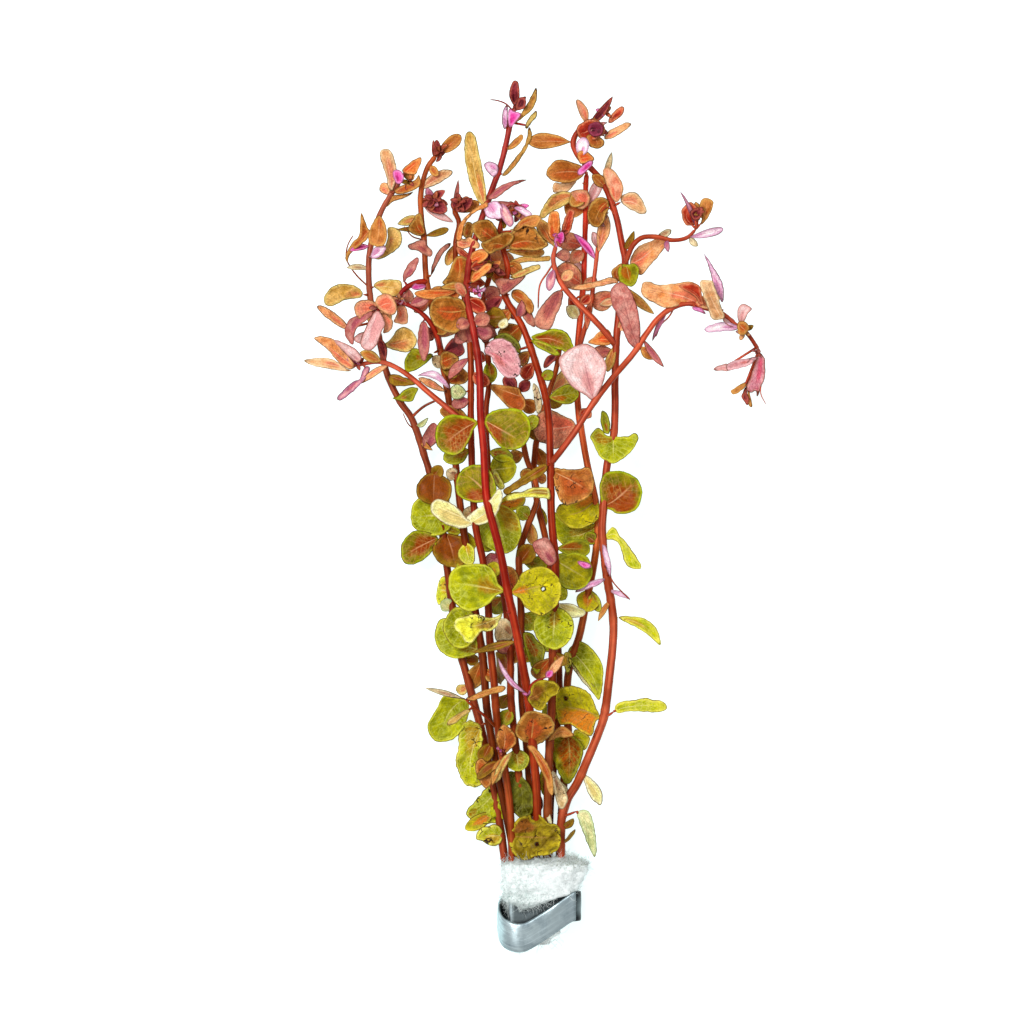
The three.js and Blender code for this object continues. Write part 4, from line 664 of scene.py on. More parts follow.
# Leaves cut to an outline, by what they grow from: colour, height over it at the base, rise to the tip in
# mm, the midrib and the edge, both as columns and rows in pixels.
cutLeaves = {
    "stem_1": [
        ["yellow", 1, 1, [502,838, 477,838], [502,832, 495,826, 488,828, 482,829, 477,834, 476,841, 482,843,
         488,847, 496,848, 501,845]],
        ["gold", 2, 3, [381,344, 395,343, 414,338], [382,344, 388,341, 398,329, 404,327, 411,330, 417,341,
         408,352]],
        ["olive", 2, 2, [399,399, 416,390], [392,398, 398,395, 403,390, 410,387, 418,388, 415,395,
         412,401]],
        ["rust", 3, 2, [390,376, 414,384], [389,375, 396,374, 404,377, 412,380, 416,384, 390,384]],
        ["gold", 1, 2, [364,293, 326,304], [324,303, 324,296, 334,285, 352,284, 362,291, 361,296, 346,299,
         330,306]],
        ["gold", 1, 2, [372,286, 385,286, 400,288], [373,285, 378,280, 401,281, 399,294, 385,296, 380,291]],
        ["salmon", 3, 3, [352,328, 320,308], [317,306, 323,306, 339,316, 349,328, 342,328, 320,312]],
        ["peach", 1, 1, [391,191, 389,172, 385,150], [380,151, 389,149, 397,172, 392,190, 388,188,
         387,180]],
        ["orange", 3, 2, [404,174, 421,160], [402,171, 421,158, 422,162, 419,169, 416,175, 405,174]],
        ["magenta", 3, 1, [397,184, 398,171], [393,172, 398,170, 403,174, 404,179, 401,184, 396,183]],
        ["copper", 1, 3, [393,192, 419,178], [394,190, 400,186, 415,180, 419,175, 420,186, 398,194]],
        ["copper", 0, 1, [386,204, 398,196, 412,192], [413,191, 407,196, 391,202, 386,206, 385,202, 389,196,
         405,193]],
        ["copper", 3, 3, [379,216, 379,230, 377,245], [379,215, 386,226, 386,243, 381,247, 369,243,
         371,227]],
        ["gold", 1, 1, [383,240, 391,238, 400,238], [388,227, 399,229, 401,243, 381,258, 372,257, 384,246,
         387,238]],
        ["lilac", 5, 1, [372,257, 384,247], [371,258, 373,250, 378,246, 384,245, 386,249, 379,258]],
        ["copper", 1, 2, [368,230, 348,256], [361,212, 367,226, 370,231, 367,238, 350,254, 347,262, 345,258,
         352,242, 358,236]],
    ],
    "stem_2": [
        ["lilac", 6, 2, [449,388, 438,380, 420,375], [418,376, 433,371, 441,375, 450,389, 436,380,
         428,377]],
        ["salmon", 3, 2, [443,390, 420,379], [418,378, 426,378, 434,381, 445,391, 438,391, 423,384]],
        ["bronze", 2, 1, [442,362, 456,356], [441,354, 447,351, 459,358, 450,369, 443,370, 440,363]],
        ["olive", 2, 2, [435,352, 407,366], [405,360, 414,348, 420,350, 424,356, 430,353, 433,355, 420,368,
         406,372]],
        ["peach", 0, 1, [423,187, 451,171], [422,188, 424,181, 437,171, 452,170, 452,174, 430,187]],
        ["dusky", 2, 2, [431,276, 435,261, 448,245], [431,275, 432,265, 440,249, 451,243, 450,247,
         444,253]],
        ["bronze", 2, 2, [424,235, 418,228, 416,217], [413,220, 417,214, 421,214, 423,222, 425,233, 419,236,
         408,230]],
        ["dusky", 3, 1, [428,252, 420,247, 411,247], [408,246, 425,240, 428,246, 433,252, 430,257, 417,251,
         411,250]],
        ["copper", 4, 0, [490,768, 484,772, 478,784], [476,762, 482,758, 492,772, 491,784, 486,789,
         477,776]],
    ],
    "stem_3": [
        ["copper", 2, 4, [503,752, 505,740, 504,726], [503,723, 496,739, 504,753, 511,748, 517,742,
         515,733]],
        ["copper", 0, 3, [467,699, 503,686], [466,698, 502,684, 506,686, 503,690, 492,693, 470,700]],
        ["gold", 0, 2, [470,708, 449,722], [447,722, 452,716, 469,708, 471,710, 464,715, 457,721, 449,724]],
        ["salmon", 4, 3, [458,243, 479,248], [458,238, 464,240, 470,238, 480,246, 479,250, 470,249, 462,250,
         457,247]],
        ["bronze", 3, 2, [463,237, 470,225], [463,236, 464,228, 468,223, 473,225, 472,238, 467,239]],
        ["bronze", 3, 4, [459,259, 460,272, 456,286], [456,258, 463,257, 480,274, 478,281, 460,288, 443,285,
         448,277]],
        ["mint", 1, 2, [468,392, 453,392], [452,388, 458,385, 467,393, 462,399, 454,400, 451,394]],
        ["gold", 2, 0, [510,754, 495,782], [503,757, 512,752, 504,770, 499,780, 493,783, 494,774]],
    ],
    "stem_4": [
        ["copper", 2, 3, [529,746, 540,757, 548,772, 551,790], [527,745, 533,745, 551,770, 552,794, 548,789,
         545,778, 534,756]],
        ["citron", 1.5, 3, [508,611, 490,620, 472,625, 457,624], [503,611, 497,615, 489,616, 480,613,
         471,613, 455,620, 456,627, 462,633, 466,640, 472,641, 482,630, 489,630, 495,627]],
        ["spent", 3, 3, [529,698, 553,684], [531,684, 537,679, 553,679, 559,685, 557,692, 551,695, 540,709,
         527,699, 530,692]],
        ["lilac", 2, 3, [489,205, 499,220], [497,203, 504,215, 502,221, 488,220, 484,213, 485,207]],
        ["mauve", 4, 4, [501,208, 511,228], [502,206, 508,211, 514,226, 510,230, 505,226, 500,212]],
        ["orange", 3, 2, [487,206, 475,212, 464,222, 459,242], [487,204, 460,226, 457,243, 461,243, 465,227,
         475,215, 488,208]],
        ["orange", 5, 3, [471,284, 490,269], [471,284, 473,277, 480,272, 487,267, 492,268, 490,273,
         474,285]],
        ["gold", 0, 1, [484,206, 476,180, 470,136], [466,136, 470,133, 475,137, 478,148, 486,204, 482,206,
         472,190, 465,158]],
        ["gold", 2, 0, [526,128, 536,113], [525,129, 526,124, 536,112, 537,117, 530,126, 527,130]],
        ["bronze", 0, 1, [502,176, 517,160, 530,132], [502,177, 525,145, 529,128, 532,135, 525,153,
         508,175]],
        ["copper", 1, 2, [507,150, 522,138], [507,151, 512,143, 522,136, 523,141, 519,146, 512,151]],
        ["bronze", 1, 1, [511,127, 536,91], [510,127, 520,116, 527,105, 536,89, 536,103, 529,114]],
        ["maroon", 2, 2, [515,106, 515,84], [514,83, 518,84, 519,101, 515,107, 511,103, 509,95]],
        ["magenta", 2.6, 1, [510,128, 516,113], [509,111, 514,113, 521,116, 517,122, 510,129]],
        ["maroon", 3, 1, [517,112, 524,99], [515,111, 517,103, 521,99, 525,100, 526,106, 524,111]],
        ["lilac", 1, 2, [505,129, 504,118, 506,108], [502,123, 503,113, 507,106, 508,114, 507,128,
         504,130]],
        ["lilac", 1, 1, [498,172, 492,168, 485,166], [484,166, 490,163, 497,166, 499,171, 494,178,
         489,175]],
        ["rose", 2, 2, [488,199, 506,188, 527,182], [487,201, 496,191, 507,185, 527,182, 512,189, 494,201]],
    ],
    "stem_5": [
        ["moss", 0, -1, [514,774, 522,793, 522,815], [509,773, 517,774, 531,789, 532,815, 520,819, 513,812,
         510,795]],
        ["ash", 2, 2, [511,636, 498,624], [497,620, 505,618, 511,622, 514,632, 511,640, 503,640, 496,640]],
        ["citron", 3, 3, [494,472, 503,487], [494,470, 498,473, 502,480, 505,487, 500,490, 493,477]],
        ["bronze", 2, 3, [490,278, 496,272, 499,264], [487,264, 494,262, 504,276, 503,284, 496,284,
         490,276]],
        ["coral", 3, 3, [486,312, 469,299], [467,297, 474,298, 482,300, 486,306, 484,314, 477,315]],
        ["dusky", 5, 2, [496,336, 480,321], [478,322, 484,318, 497,335, 491,340, 484,344, 480,336,
         477,329]],
        ["rust", 6, 2, [484,318, 506,318], [482,316, 488,312, 494,308, 501,310, 507,323, 503,329, 496,329]],
        ["cream", 9, 1, [499,328, 507,322], [498,325, 502,321, 507,320, 508,327, 503,330, 499,329]],
    ],
    "stem_6": [
        ["olive", 1, 3, [525,634, 534,650, 538,670], [523,633, 531,633, 538,641, 545,648, 541,668,
         536,674]],
        ["copper", 2, 3, [519,396, 493,387], [491,385, 505,386, 519,388, 522,394, 526,402, 524,410, 517,412,
         510,409, 497,396, 492,391]],
    ],
    "stem_8": [
        ["copper", 2, 1, [550,740, 560,731, 573,733], [548,741, 558,727, 564,726, 574,735, 567,737,
         559,737]],
        ["ash", 1, 3, [551,768, 558,783, 562,797, 562,807], [552,771, 557,775, 568,798, 566,805, 561,809,
         557,803]],
        ["olive", -1, -2, [548,777, 546,787, 546,797], [541,772, 548,776, 552,797, 548,799, 543,796,
         540,785]],
        ["rust", 2, 3, [548,465, 504,493], [545,464, 511,485, 503,491, 506,495, 514,491, 547,470]],
        ["citron", 2, 3, [550,493, 535,492, 508,499], [548,489, 532,488, 524,491, 507,497, 507,501, 522,498,
         541,498, 549,499]],
        ["rose", 1, 2, [554,564, 547,555, 539,541], [556,560, 552,565, 546,564, 532,544, 544,537, 550,541]],
        ["rose", 3, 2, [508,207, 526,220], [508,205, 515,207, 527,218, 530,221, 523,222, 516,220]],
        ["lilac", 5, 2, [514,210, 522,212, 530,218], [513,209, 520,208, 532,217, 528,220, 521,216,
         515,212]],
        ["bronze", 2, 4, [502,246, 474,226], [474,225, 488,222, 494,226, 500,240, 497,246, 482,244,
         472,231]],
        ["bronze", 4, 5, [507,248, 496,246, 484,250], [481,247, 489,242, 508,234, 514,238, 510,246, 496,254,
         490,257]],
        ["bronze", 2, 4, [506,248, 525,243, 546,247], [508,242, 512,234, 526,225, 543,240, 548,247, 536,253,
         527,252, 510,250]],
        ["copper", 5, 4, [510,234, 524,226, 539,221], [513,232, 523,221, 538,218, 541,222, 538,228, 532,231,
         524,229, 519,233]],
        ["dusky", 3, 3, [503,294, 512,287, 525,279], [495,282, 503,280, 512,281, 526,278, 502,297,
         498,290]],
        ["gold", 0, 2, [508,278, 524,272, 539,268], [510,278, 523,270, 539,266, 540,270, 533,273, 517,280]],
        ["amber", 0, 0, [508,266, 528,260, 549,259], [508,264, 525,257, 536,258, 550,257, 550,261, 528,263,
         518,265, 510,268]],
        ["copper", 1, 2, [508,295, 520,300, 531,313], [512,292, 519,291, 532,303, 534,311, 530,316, 524,309,
         512,299]],
        ["dusky", 0, 1, [519,308, 527,315, 534,326], [521,307, 526,306, 531,312, 535,328, 529,326,
         520,313]],
        ["blush", 3, 1, [531,341, 545,345, 560,356], [531,341, 549,346, 560,356, 554,357, 545,353,
         537,349]],
        ["moss", -1, -1, [519,352, 509,341, 496,338], [493,341, 498,335, 507,334, 520,345, 520,354, 515,352,
         509,345, 501,340]],
        ["ash", -2, 0, [541,388, 538,398, 538,411], [533,384, 537,386, 542,403, 541,412, 537,414, 535,406]],
    ],
    "stem_9": [
        ["yellow", 0, 1, [571,738, 588,744], [576,731, 590,738, 589,746, 584,752, 577,748, 573,740]],
        ["yellow", 1, 0, [568,652, 568,674], [563,658, 565,653, 570,653, 572,660, 571,670, 568,676]],
        ["cream", 1, 3, [571,660, 599,699], [571,660, 577,668, 599,693, 600,700, 588,688, 573,669]],
        ["cream", 2, 1, [572,781, 559,774], [558,773, 563,774, 569,777, 573,781, 569,783, 563,780]],
        ["blushed", 1, 2, [577,425, 560,428, 535,430], [540,412, 552,410, 560,414, 574,421, 576,427,
         560,447, 554,449, 546,444, 538,441, 532,425]],
        ["blushed", 3, 3, [583,284, 560,269], [557,268, 568,262, 580,270, 581,286, 566,288, 560,283]],
        ["copper", 2, 3, [586,173, 568,172, 548,175], [546,175, 555,162, 571,162, 585,169, 584,175, 571,183,
         553,182]],
        ["peach", 1, 1, [584,182, 556,190], [554,183, 562,183, 570,182, 577,179, 568,191, 560,192,
         553,192]],
        ["gold", 1, 3, [583,193, 562,200, 541,216], [539,218, 551,196, 566,191, 573,194, 571,201, 549,214,
         544,218]],
        ["blushed", 2, 1, [586,206, 580,200, 575,193], [571,192, 586,190, 590,195, 589,203, 583,209,
         577,208]],
        ["coral", 0, 1, [576,296, 573,317], [570,294, 576,296, 578,303, 573,319, 570,311, 568,303]],
    ],
    "stem_10": [
        ["mint", 0, -2, [577,814, 585,822, 595,857], [577,815, 580,811, 589,812, 597,850, 595,859,
         579,822]],
        ["cream", 0, 1, [583,775, 599,796, 601,804], [584,776, 590,778, 601,790, 603,799, 601,806,
         590,797]],
        ["olive", 1, 2, [609,431, 606,424, 604,413], [602,411, 606,413, 609,419, 609,434, 604,433,
         600,419]],
        ["bronze", 1, 2, [609,201, 600,210, 593,226], [595,200, 602,198, 608,201, 609,208, 606,215, 604,222,
         599,228, 593,228, 588,222, 587,213]],
        ["blushed", 2, 2, [615,204, 614,190, 606,173], [603,171, 608,169, 614,173, 623,189, 617,203,
         612,199]],
        ["peach", 1, 1, [619,203, 632,203, 645,212], [621,203, 621,197, 634,193, 640,198, 646,213,
         641,215]],
        ["magenta", 3, 1, [592,165, 585,169, 579,175], [577,173, 588,163, 593,163, 591,168, 581,177,
         578,177]],
        ["copper", 2, -1, [592,137, 596,142, 598,148], [586,138, 592,136, 604,142, 603,147, 597,150,
         590,148]],
        ["coral", 1, 1, [606,125, 613,117, 622,110], [608,124, 610,117, 621,108, 624,110, 623,115,
         612,124]],
        ["coral", 1, 2, [584,134, 600,128], [576,131, 580,125, 590,121, 600,124, 605,132, 600,139, 588,142,
         579,139]],
        ["wine", 3.5, 1, [588,132, 602,131], [589,127, 596,124, 603,129, 601,137, 593,139, 588,134]],
        ["salmon", 1, 1, [603,138, 629,126], [604,140, 606,134, 619,127, 627,124, 631,126, 611,140]],
        ["orange", 2, 0, [579,161, 585,159, 592,160], [577,155, 583,152, 590,155, 594,161, 588,164,
         580,165]],
        ["olive", 2, 3, [626,266, 630,286], [620,283, 618,269, 622,265, 628,265, 634,264, 638,269, 636,283,
         631,288]],
        ["copper", 1, 1, [621,282, 616,275, 617,267], [611,272, 616,267, 621,264, 622,272, 620,280,
         615,283]],
        ["salmon", 2, 2, [620,281, 572,289], [570,289, 600,281, 610,278, 616,279, 618,283, 610,285,
         580,291]],
        ["orange", 1, 1, [611,341, 600,340, 590,343], [588,343, 594,337, 601,331, 608,330, 612,343,
         606,346]],
        ["magenta", 4, 5, [606,567, 579,563], [577,561, 584,561, 590,564, 591,567, 584,568, 579,565]],
        ["lilac", 2, 1, [608,575, 603,546], [602,544, 606,547, 609,556, 611,566, 610,577, 603,557]],
        ["lilac", 1, 1, [605,580, 590,584, 576,592], [575,592, 580,586, 598,579, 605,579, 600,584,
         590,588]],
        ["lilac", 1, 1, [609,590, 620,592, 630,598], [609,590, 616,590, 623,592, 630,599, 622,597,
         614,594]],
        ["lilac", 2, 1, [581,156, 584,142], [577,154, 576,146, 581,139, 588,142, 588,151, 583,157]],
    ],
    "shoot_arch": [
        ["coral", 4, 3, [701,304, 692,295, 678,289], [676,289, 693,286, 698,290, 700,298, 702,307, 697,306,
         693,300]],
        ["peach", 3, 4, [719,318, 710,302, 703,286], [698,284, 710,284, 713,291, 720,310, 723,319, 711,321,
         706,311]],
        ["lilac", 2, 4, [722,312, 717,290, 703,259], [702,256, 711,269, 719,281, 722,292, 721,304, 716,297,
         711,286, 707,271]],
        ["magenta", 3, -1, [692,309, 703,315], [690,309, 697,309, 702,312, 704,316, 698,314, 692,312]],
        ["lilac", 1, 1, [738,328, 704,331], [703,330, 720,323, 738,327, 735,331, 724,332, 706,333]],
        ["pale", 2, 1, [740,325, 741,316, 746,306], [739,324, 736,318, 738,307, 742,305, 751,310, 747,314,
         742,324]],
        ["copper", 3, 0, [739,327, 747,334], [737,323, 742,322, 746,325, 748,329, 743,336, 737,335]],
        ["orchid", 1, 1, [758,356, 728,367], [757,357, 749,358, 727,364, 727,371, 733,370, 750,365]],
        ["pale", 0, 0, [728,366, 713,370], [728,364, 720,365, 713,369, 716,371, 722,371, 728,371]],
        ["roseRed", 1, -8, [760,354, 759,372, 755,394], [760,353, 764,357, 766,376, 763,385, 759,396,
         757,390, 753,392, 749,390, 748,385, 751,378]],
        ["copper", -6, 0, [748,383, 734,392], [749,381, 744,382, 735,388, 732,390, 735,394, 747,386]],
        ["maroon", -7, 0, [748,384, 747,394, 749,404], [749,384, 743,396, 746,401, 749,405, 751,400,
         749,392]],
        ["copper", -7, 0, [749,388, 754,407], [750,387, 752,394, 754,407, 751,406, 750,398, 749,391]],
    ],
    "shoot_bend": [
        ["dusky", 1, 1, [560,292, 553,305, 543,328], [562,292, 561,306, 556,317, 549,331, 536,328, 534,320,
         555,293]],
        ["orange", 1, 3, [555,246, 552,215], [549,240, 548,220, 552,214, 557,214, 560,230, 555,243]],
        ["coral", 1, 2, [558,244, 565,230, 571,212], [560,238, 569,212, 574,213, 573,222, 571,231,
         562,241]],
    ],
    "shoot_curl": [
        ["coral", 0, 2, [692,226, 686,218, 689,206], [681,211, 690,203, 698,211, 696,216, 698,222,
         686,226]],
        ["copper", 0, 2, [700,225, 705,213, 706,201], [699,205, 702,200, 708,199, 713,203, 705,222, 700,225,
         702,216]],
        ["maroon", 2, 1, [694,220, 700,209], [690,212, 702,208, 702,214, 699,220, 693,221, 690,217]],
    ],
    "shoot_left": [
        ["salmon", 2, 3, [355,367, 318,339], [315,339, 321,337, 336,341, 343,350, 355,365, 352,370, 338,362,
         330,352]],
        ["pale", 4, 3, [359,361, 337,343], [335,341, 352,347, 359,352, 362,358, 358,363, 345,353]],
        ["peach", 0, -5, [353,369, 306,360], [303,360, 330,358, 346,368, 352,371, 343,371, 309,364]],
        ["mauve", 0, 1, [366,367, 355,382, 339,399], [337,399, 353,382, 360,379, 362,372, 366,366, 370,368,
         364,381, 340,401]],
    ],
    "shoot_short": [
        ["rose", 0, 2, [404,283, 409,272, 418,260], [404,283, 403,275, 411,262, 418,258, 419,262, 413,275,
         407,279]],
    ],
    "shoot_fan": [
        ["rose", 1, 2, [423,320, 424,360], [422,322, 427,324, 430,345, 428,356, 424,362, 418,345]],
        ["blushed", 1, 1, [378,308, 357,308], [355,309, 358,303, 371,301, 377,304, 378,309, 366,316,
         360,320]],
        ["blushed", 3, 3, [380,308, 388,305, 397,306], [376,302, 380,297, 391,296, 398,309, 396,316,
         390,317, 378,308]],
        ["blushed", -1, 0, [398,305, 402,313, 403,322], [397,304, 402,304, 407,309, 407,324, 394,322,
         397,315]],
        ["rose", 2, 1, [373,312, 358,321, 350,343], [372,312, 366,315, 350,321, 346,336, 354,346, 357,331,
         374,315]],
        ["pale", 3, 3, [379,311, 368,350], [378,312, 386,325, 383,333, 376,349, 369,352, 363,349, 362,342]],
        ["blushed", 1, 1, [382,312, 388,321, 388,332], [381,312, 393,321, 393,328, 389,333, 384,334,
         385,326]],
    ],
}

# The forty large leaves: what each grows from, its colour, the column and row of its joint, its rise to
# the tip in mm, its midrib and its edge. Three plain ones have a row like a small leaf's instead.
largeLeaves = [
    ["stem_3", "old", 511,838, 4, [511,838, 561,838], [517,820, 530,816, 533,821, 535,817, 540,816, 549,823,
     555,824, 560,829, 559,848, 554,853, 535,857, 528,861, 520,861, 510,847]],
    ["stem_1", "lime", 502,786, -1, [502,783, 490,800, 470,820], [500,777, 506,790, 506,818, 500,824,
     480,826, 466,818, 468,810, 475,803]],
    ["stem_1", "lime", 470,697, 2, [468,699, 458,704, 448,715, 441,732], [444,696, 436,710, 427,728,
     435,742, 451,741, 464,728, 469,708, 466,701, 455,698]],
    ["stem_2", "yellow", 487,722, -3, [482,724, 474,745, 470,765, 470,786], [459,732, 463,724, 470,721,
     478,724, 483,736, 480,764, 483,778, 482,786, 474,789, 465,786, 456,766, 458,748]],
    ["stem_4", "rust", 531,742, 8, [531,742, 534,711], [515,728, 524,712, 532,709, 549,714, 554,722,
     553,731, 541,743, 533,744, 517,736]],
    ["stem_10", "old", 602,717, -3, [600,717, 585,711, 557,706], [555,698, 558,690, 573,686, 589,693,
     597,710, 600,717, 596,722, 591,736, 570,725, 560,725]],
    ["stem_9", "olive", 568,733, 3, [568,735, 570,752, 569,783], [551,744, 564,735, 572,736, 584,749,
     568,786, 561,778]],
    ["stem_9", "lime", 572,650, 4, [570,651, 580,660, 592,676, 600,697], [568,653, 578,642, 585,643,
     602,664, 599,700, 589,686]],
    ["stem_10", "lime", 613,711, 3, [615,711, 625,707, 645,705, 664,705], [615,711, 615,706, 619,702,
     636,699, 645,697, 653,699, 661,700, 666,704, 666,708, 661,711, 628,711, 619,713]],
    ["stem_4", "lime", 508,592, 1, [506,591, 477,585, 455,582], [451,573, 458,566, 482,563, 491,566,
     496,574, 498,582, 505,590, 496,595, 490,602, 468,610, 451,595]],
    ["stem_4", "blush", 508,592, 1, [511,592, 548,583], [511,592, 516,582, 522,572, 543,566, 559,579,
     558,602, 540,614, 524,605, 520,598]],
    ["stem_1", "lime", 441,515, 1, [450,514, 413,517], [448,501, 422,497, 413,503, 412,526, 433,536,
     445,533, 452,524]],
    ["stem_1", "blush", 443,537, 3, [441,536, 415,549, 404,556], [437,537, 414,531, 401,545, 403,562,
     411,565, 426,558, 437,543]],
    ["stem_1", "rust", 445,534, 4, [446,534, 451,548, 455,566], [445,534, 432,547, 438,562, 455,568,
     463,565, 468,557, 465,538, 456,535]],
    ["stem_3", "cream", 477,521, 2, [476,523, 434,505], [468,519, 455,505, 438,499, 432,504, 432,512,
     444,523, 462,528, 475,523]],
    ["stem_3", "cream", 474,524, 9, [472,522, 485,513, 499,496], [467,518, 490,500, 499,489, 503,494,
     494,518, 478,525, 470,523]],
    ["stem_4", "blush", 487,500, -4, [492,499, 476,482, 462,472], [496,494, 490,470, 478,465, 467,467,
     459,474, 456,486, 459,496, 478,503]],
    ["stem_5", "olive", 489,470, 517,467, 30, 3, 0, "round", "olive"],
    ["stem_4", "blush", 483,423, 2, [484,421, 521,442], [485,423, 491,413, 516,410, 526,416, 531,428,
     529,439, 522,448, 511,451, 501,448]],
    ["stem_4", "blush", 480,423, 2, [478,422, 460,433, 445,446], [478,423, 459,416, 448,417, 439,425,
     436,436, 439,448, 448,455, 458,456, 466,449, 474,431]],
    ["stem_1", "rust", 430,471, 4, [434,471, 433,504], [433,472, 422,477, 416,487, 418,498, 439,506,
     449,500, 452,490, 449,480]],
    ["stem_8", "copper", 551,470, -2, [553,472, 570,480, 590,492], [554,468, 562,469, 580,469, 588,467,
     594,481, 593,490, 588,497, 565,505, 556,493]],
    ["stem_9", "old", 595,500, 4, [597,500, 580,512, 560,516], [556,511, 560,504, 570,503, 580,500, 595,494,
     599,518, 576,529, 560,520]],
    ["stem_9", "lime", 598,528, -1, [598,527, 580,535, 558,538], [555,512, 567,524, 588,526, 596,523,
     600,525, 599,534, 593,541, 576,548, 567,547, 559,541, 555,531]],
    ["stem_8", "olive", 554,560, 589,580, 38, -4, 0, "round", "olive"],
    ["stem_10", "lime", 613,431, 4, [613,434, 613,462], [628,436, 634,433, 638,436, 633,449, 613,464,
     606,461, 600,458, 593,444, 590,437, 597,428, 602,430, 606,435]],
    ["stem_10", "blush", 603,508, 2, [603,507, 615,500, 637,480], [604,507, 599,490, 604,474, 620,471,
     637,479, 642,494, 635,510, 618,514, 610,510]],
    ["stem_10", "lime", 603,537, 3, [604,538, 614,534, 637,565], [605,538, 612,527, 616,529, 619,535,
     624,540, 641,568, 627,566, 617,542]],
    ["stem_10", "old", 613,618, 2, [616,617, 630,620, 645,627, 658,643], [618,617, 644,618, 656,628,
     660,645, 649,636, 641,630]],
    ["stem_8", "old", 555,604, 5, [555,605, 552,646], [533,625, 540,610, 557,606, 572,618, 571,636, 560,647,
     552,648, 539,641]],
    ["stem_2", "lime", 479,626, 3, [479,626, 445,628], [454,608, 443,624, 444,634, 456,648, 471,645,
     478,628, 469,609]],
    ["stem_2", "lime", 482,652, -3, [482,651, 460,645, 437,636], [441,619, 434,634, 439,651, 455,659,
     482,650, 480,640, 455,621]],
    ["stem_5", "olive", 495,500, 507,553, 44, 3, 0, "round", "lime"],
    ["stem_4", "copper", 467,312, 3, [467,312, 452,314, 433,312], [437,300, 463,302, 468,318, 461,332,
     453,335, 436,328, 430,312]],
    ["shoot_arch", "pale", 595,402, 4, [593,402, 587,380, 581,351], [585,346, 561,357, 558,365, 569,386,
     585,397, 592,401, 602,385, 604,364]],
    ["shoot_arch", "rose", 637,350, 2, [637,350, 628,325, 619,290], [619,285, 626,289, 634,304, 639,336,
     636,350, 629,347, 616,318, 611,308, 610,291]],
    ["stem_4", "rose", 478,353, 2, [481,354, 494,356, 506,364, 518,375], [484,353, 492,342, 506,342,
     517,354, 521,370, 519,377, 512,380, 504,378, 494,365, 491,358, 486,356]],
    ["stem_8", "olive", 530,344, 2, [531,341, 548,340, 570,348], [531,338, 544,333, 551,330, 566,334,
     573,350, 570,356, 562,352, 553,350]],
    ["stem_10", "copper", 625,262, -3, [628,266, 645,256, 664,238], [640,276, 630,264, 637,248, 660,237,
     665,233, 668,237, 667,244, 649,267]],
    ["shoot_arch", "salmon", 700,308, 3, [700,306, 680,298, 642,290], [641,286, 648,284, 657,287, 690,284,
     697,288, 700,304, 680,307, 663,310, 655,306, 641,297]],
]

# Points along a smooth curve through the given ones, evenly spaced.
def smoothPath(points, spacing, closed=False):
    if closed:
        ends = [points[-1]] + points + points[:2]
    else:
        ends = [2 * points[0] - points[1]] + points + [2 * points[-1] - points[-2]]
    dense = []
    for before, start, end, after in zip(ends, ends[1:], ends[2:], ends[3:]):
        first, here, third = [max((b - a).length, 1e-4) ** 0.5
                              for a, b in ((before, start), (start, end), (end, after))]
        leave = (start - before) / first - (end - before) / (first + here) + (end - start) / here
        arrive = (end - start) / here - (after - start) / (here + third) + (after - end) / third
        dense += [easedPlace(start, end, leave * here, arrive * here, tick / 10) for tick in range(10)]
    dense.append(ends[-2])
    return evenPoints(dense, spacing)


def evenPoints(dense, spacing):
    reach = [0.0]
    for a, b in zip(dense, dense[1:]):
        reach.append(reach[-1] + (b - a).length)
    count = max(2, round(reach[-1] / spacing))
    path, index = [], 0
    for tick in range(count + 1):
        goal = reach[-1] * tick / count
        while index < len(reach) - 2 and reach[index + 1] < goal:
            index += 1
        span = max(reach[index + 1] - reach[index], 1e-6)
        path.append(dense[index].lerp(dense[index + 1], clamp((goal - reach[index]) / span)))
    return path


def nearestOnPath(path, place):
    best = min(range(len(path)), key=lambda i: (path[i].x - place.x) ** 2 + (path[i].y - place.y) ** 2)
    return path[best].copy(), best / (len(path) - 1)


def nearestOf(paths, place):
    found = [nearestOnPath(path, place)[0] for path in paths]
    return min(found, key=lambda point: (point - place).xy.length)


# Points from a flat list of columns and rows, or of columns, rows and heights where the size is three.
def pixelPoints(numbers, size=2):
    return [at(*numbers[start:start + size]) for start in range(0, len(numbers), size)]


# A part gathers the vertices of one piece: place, surface coordinates and what its materials read.
# scorch marks the dark rims round holes in leaves, and carries painted shade on the lead strip and the floss
attributeNames = ("along", "knot", "flush", "spots", "seed", "scorch", "edge")


def newPart():
    return {"points": [], "uvs": [], "values": [], "faces": [], "finishes": []}


def addPoint(part, place, uv, **values):
    part["points"].append(place * metresPerMm)
    part["uvs"].append(uv)
    part["values"].append([values.get(name, 0.0) for name in attributeNames])
    return len(part["points"]) - 1


def addFace(part, corners, finish):
    part["faces"].append(corners)
    part["finishes"].append(finish)


# A skin over rings of points, closed at both ends.
def joinRings(part, rings, finish):
    for lower, upper in zip(rings, rings[1:]):
        for corner in range(len(lower)):
            other = (corner + 1) % len(lower)
            addFace(part, (lower[corner], lower[other], upper[other], upper[corner]), finish)
    addFace(part, rings[0][::-1], finish)
    addFace(part, rings[-1], finish)


# The upper and lower skins of a blade, joined round its edge and round each hole.
def joinSkins(part, rings, top, bottom, finish):
    border = {}
    for ring in rings:
        addFace(part, [top[corner] for corner in ring], finish)
        addFace(part, [bottom[corner] for corner in reversed(ring)], finish)
        for a, b in zip(ring, ring[1:] + ring[:1]):
            if (b, a) in border:
                del border[b, a]
            else:
                border[a, b] = True
    for a, b in border:
        addFace(part, (top[b], top[a], bottom[a], bottom[b]), finish)


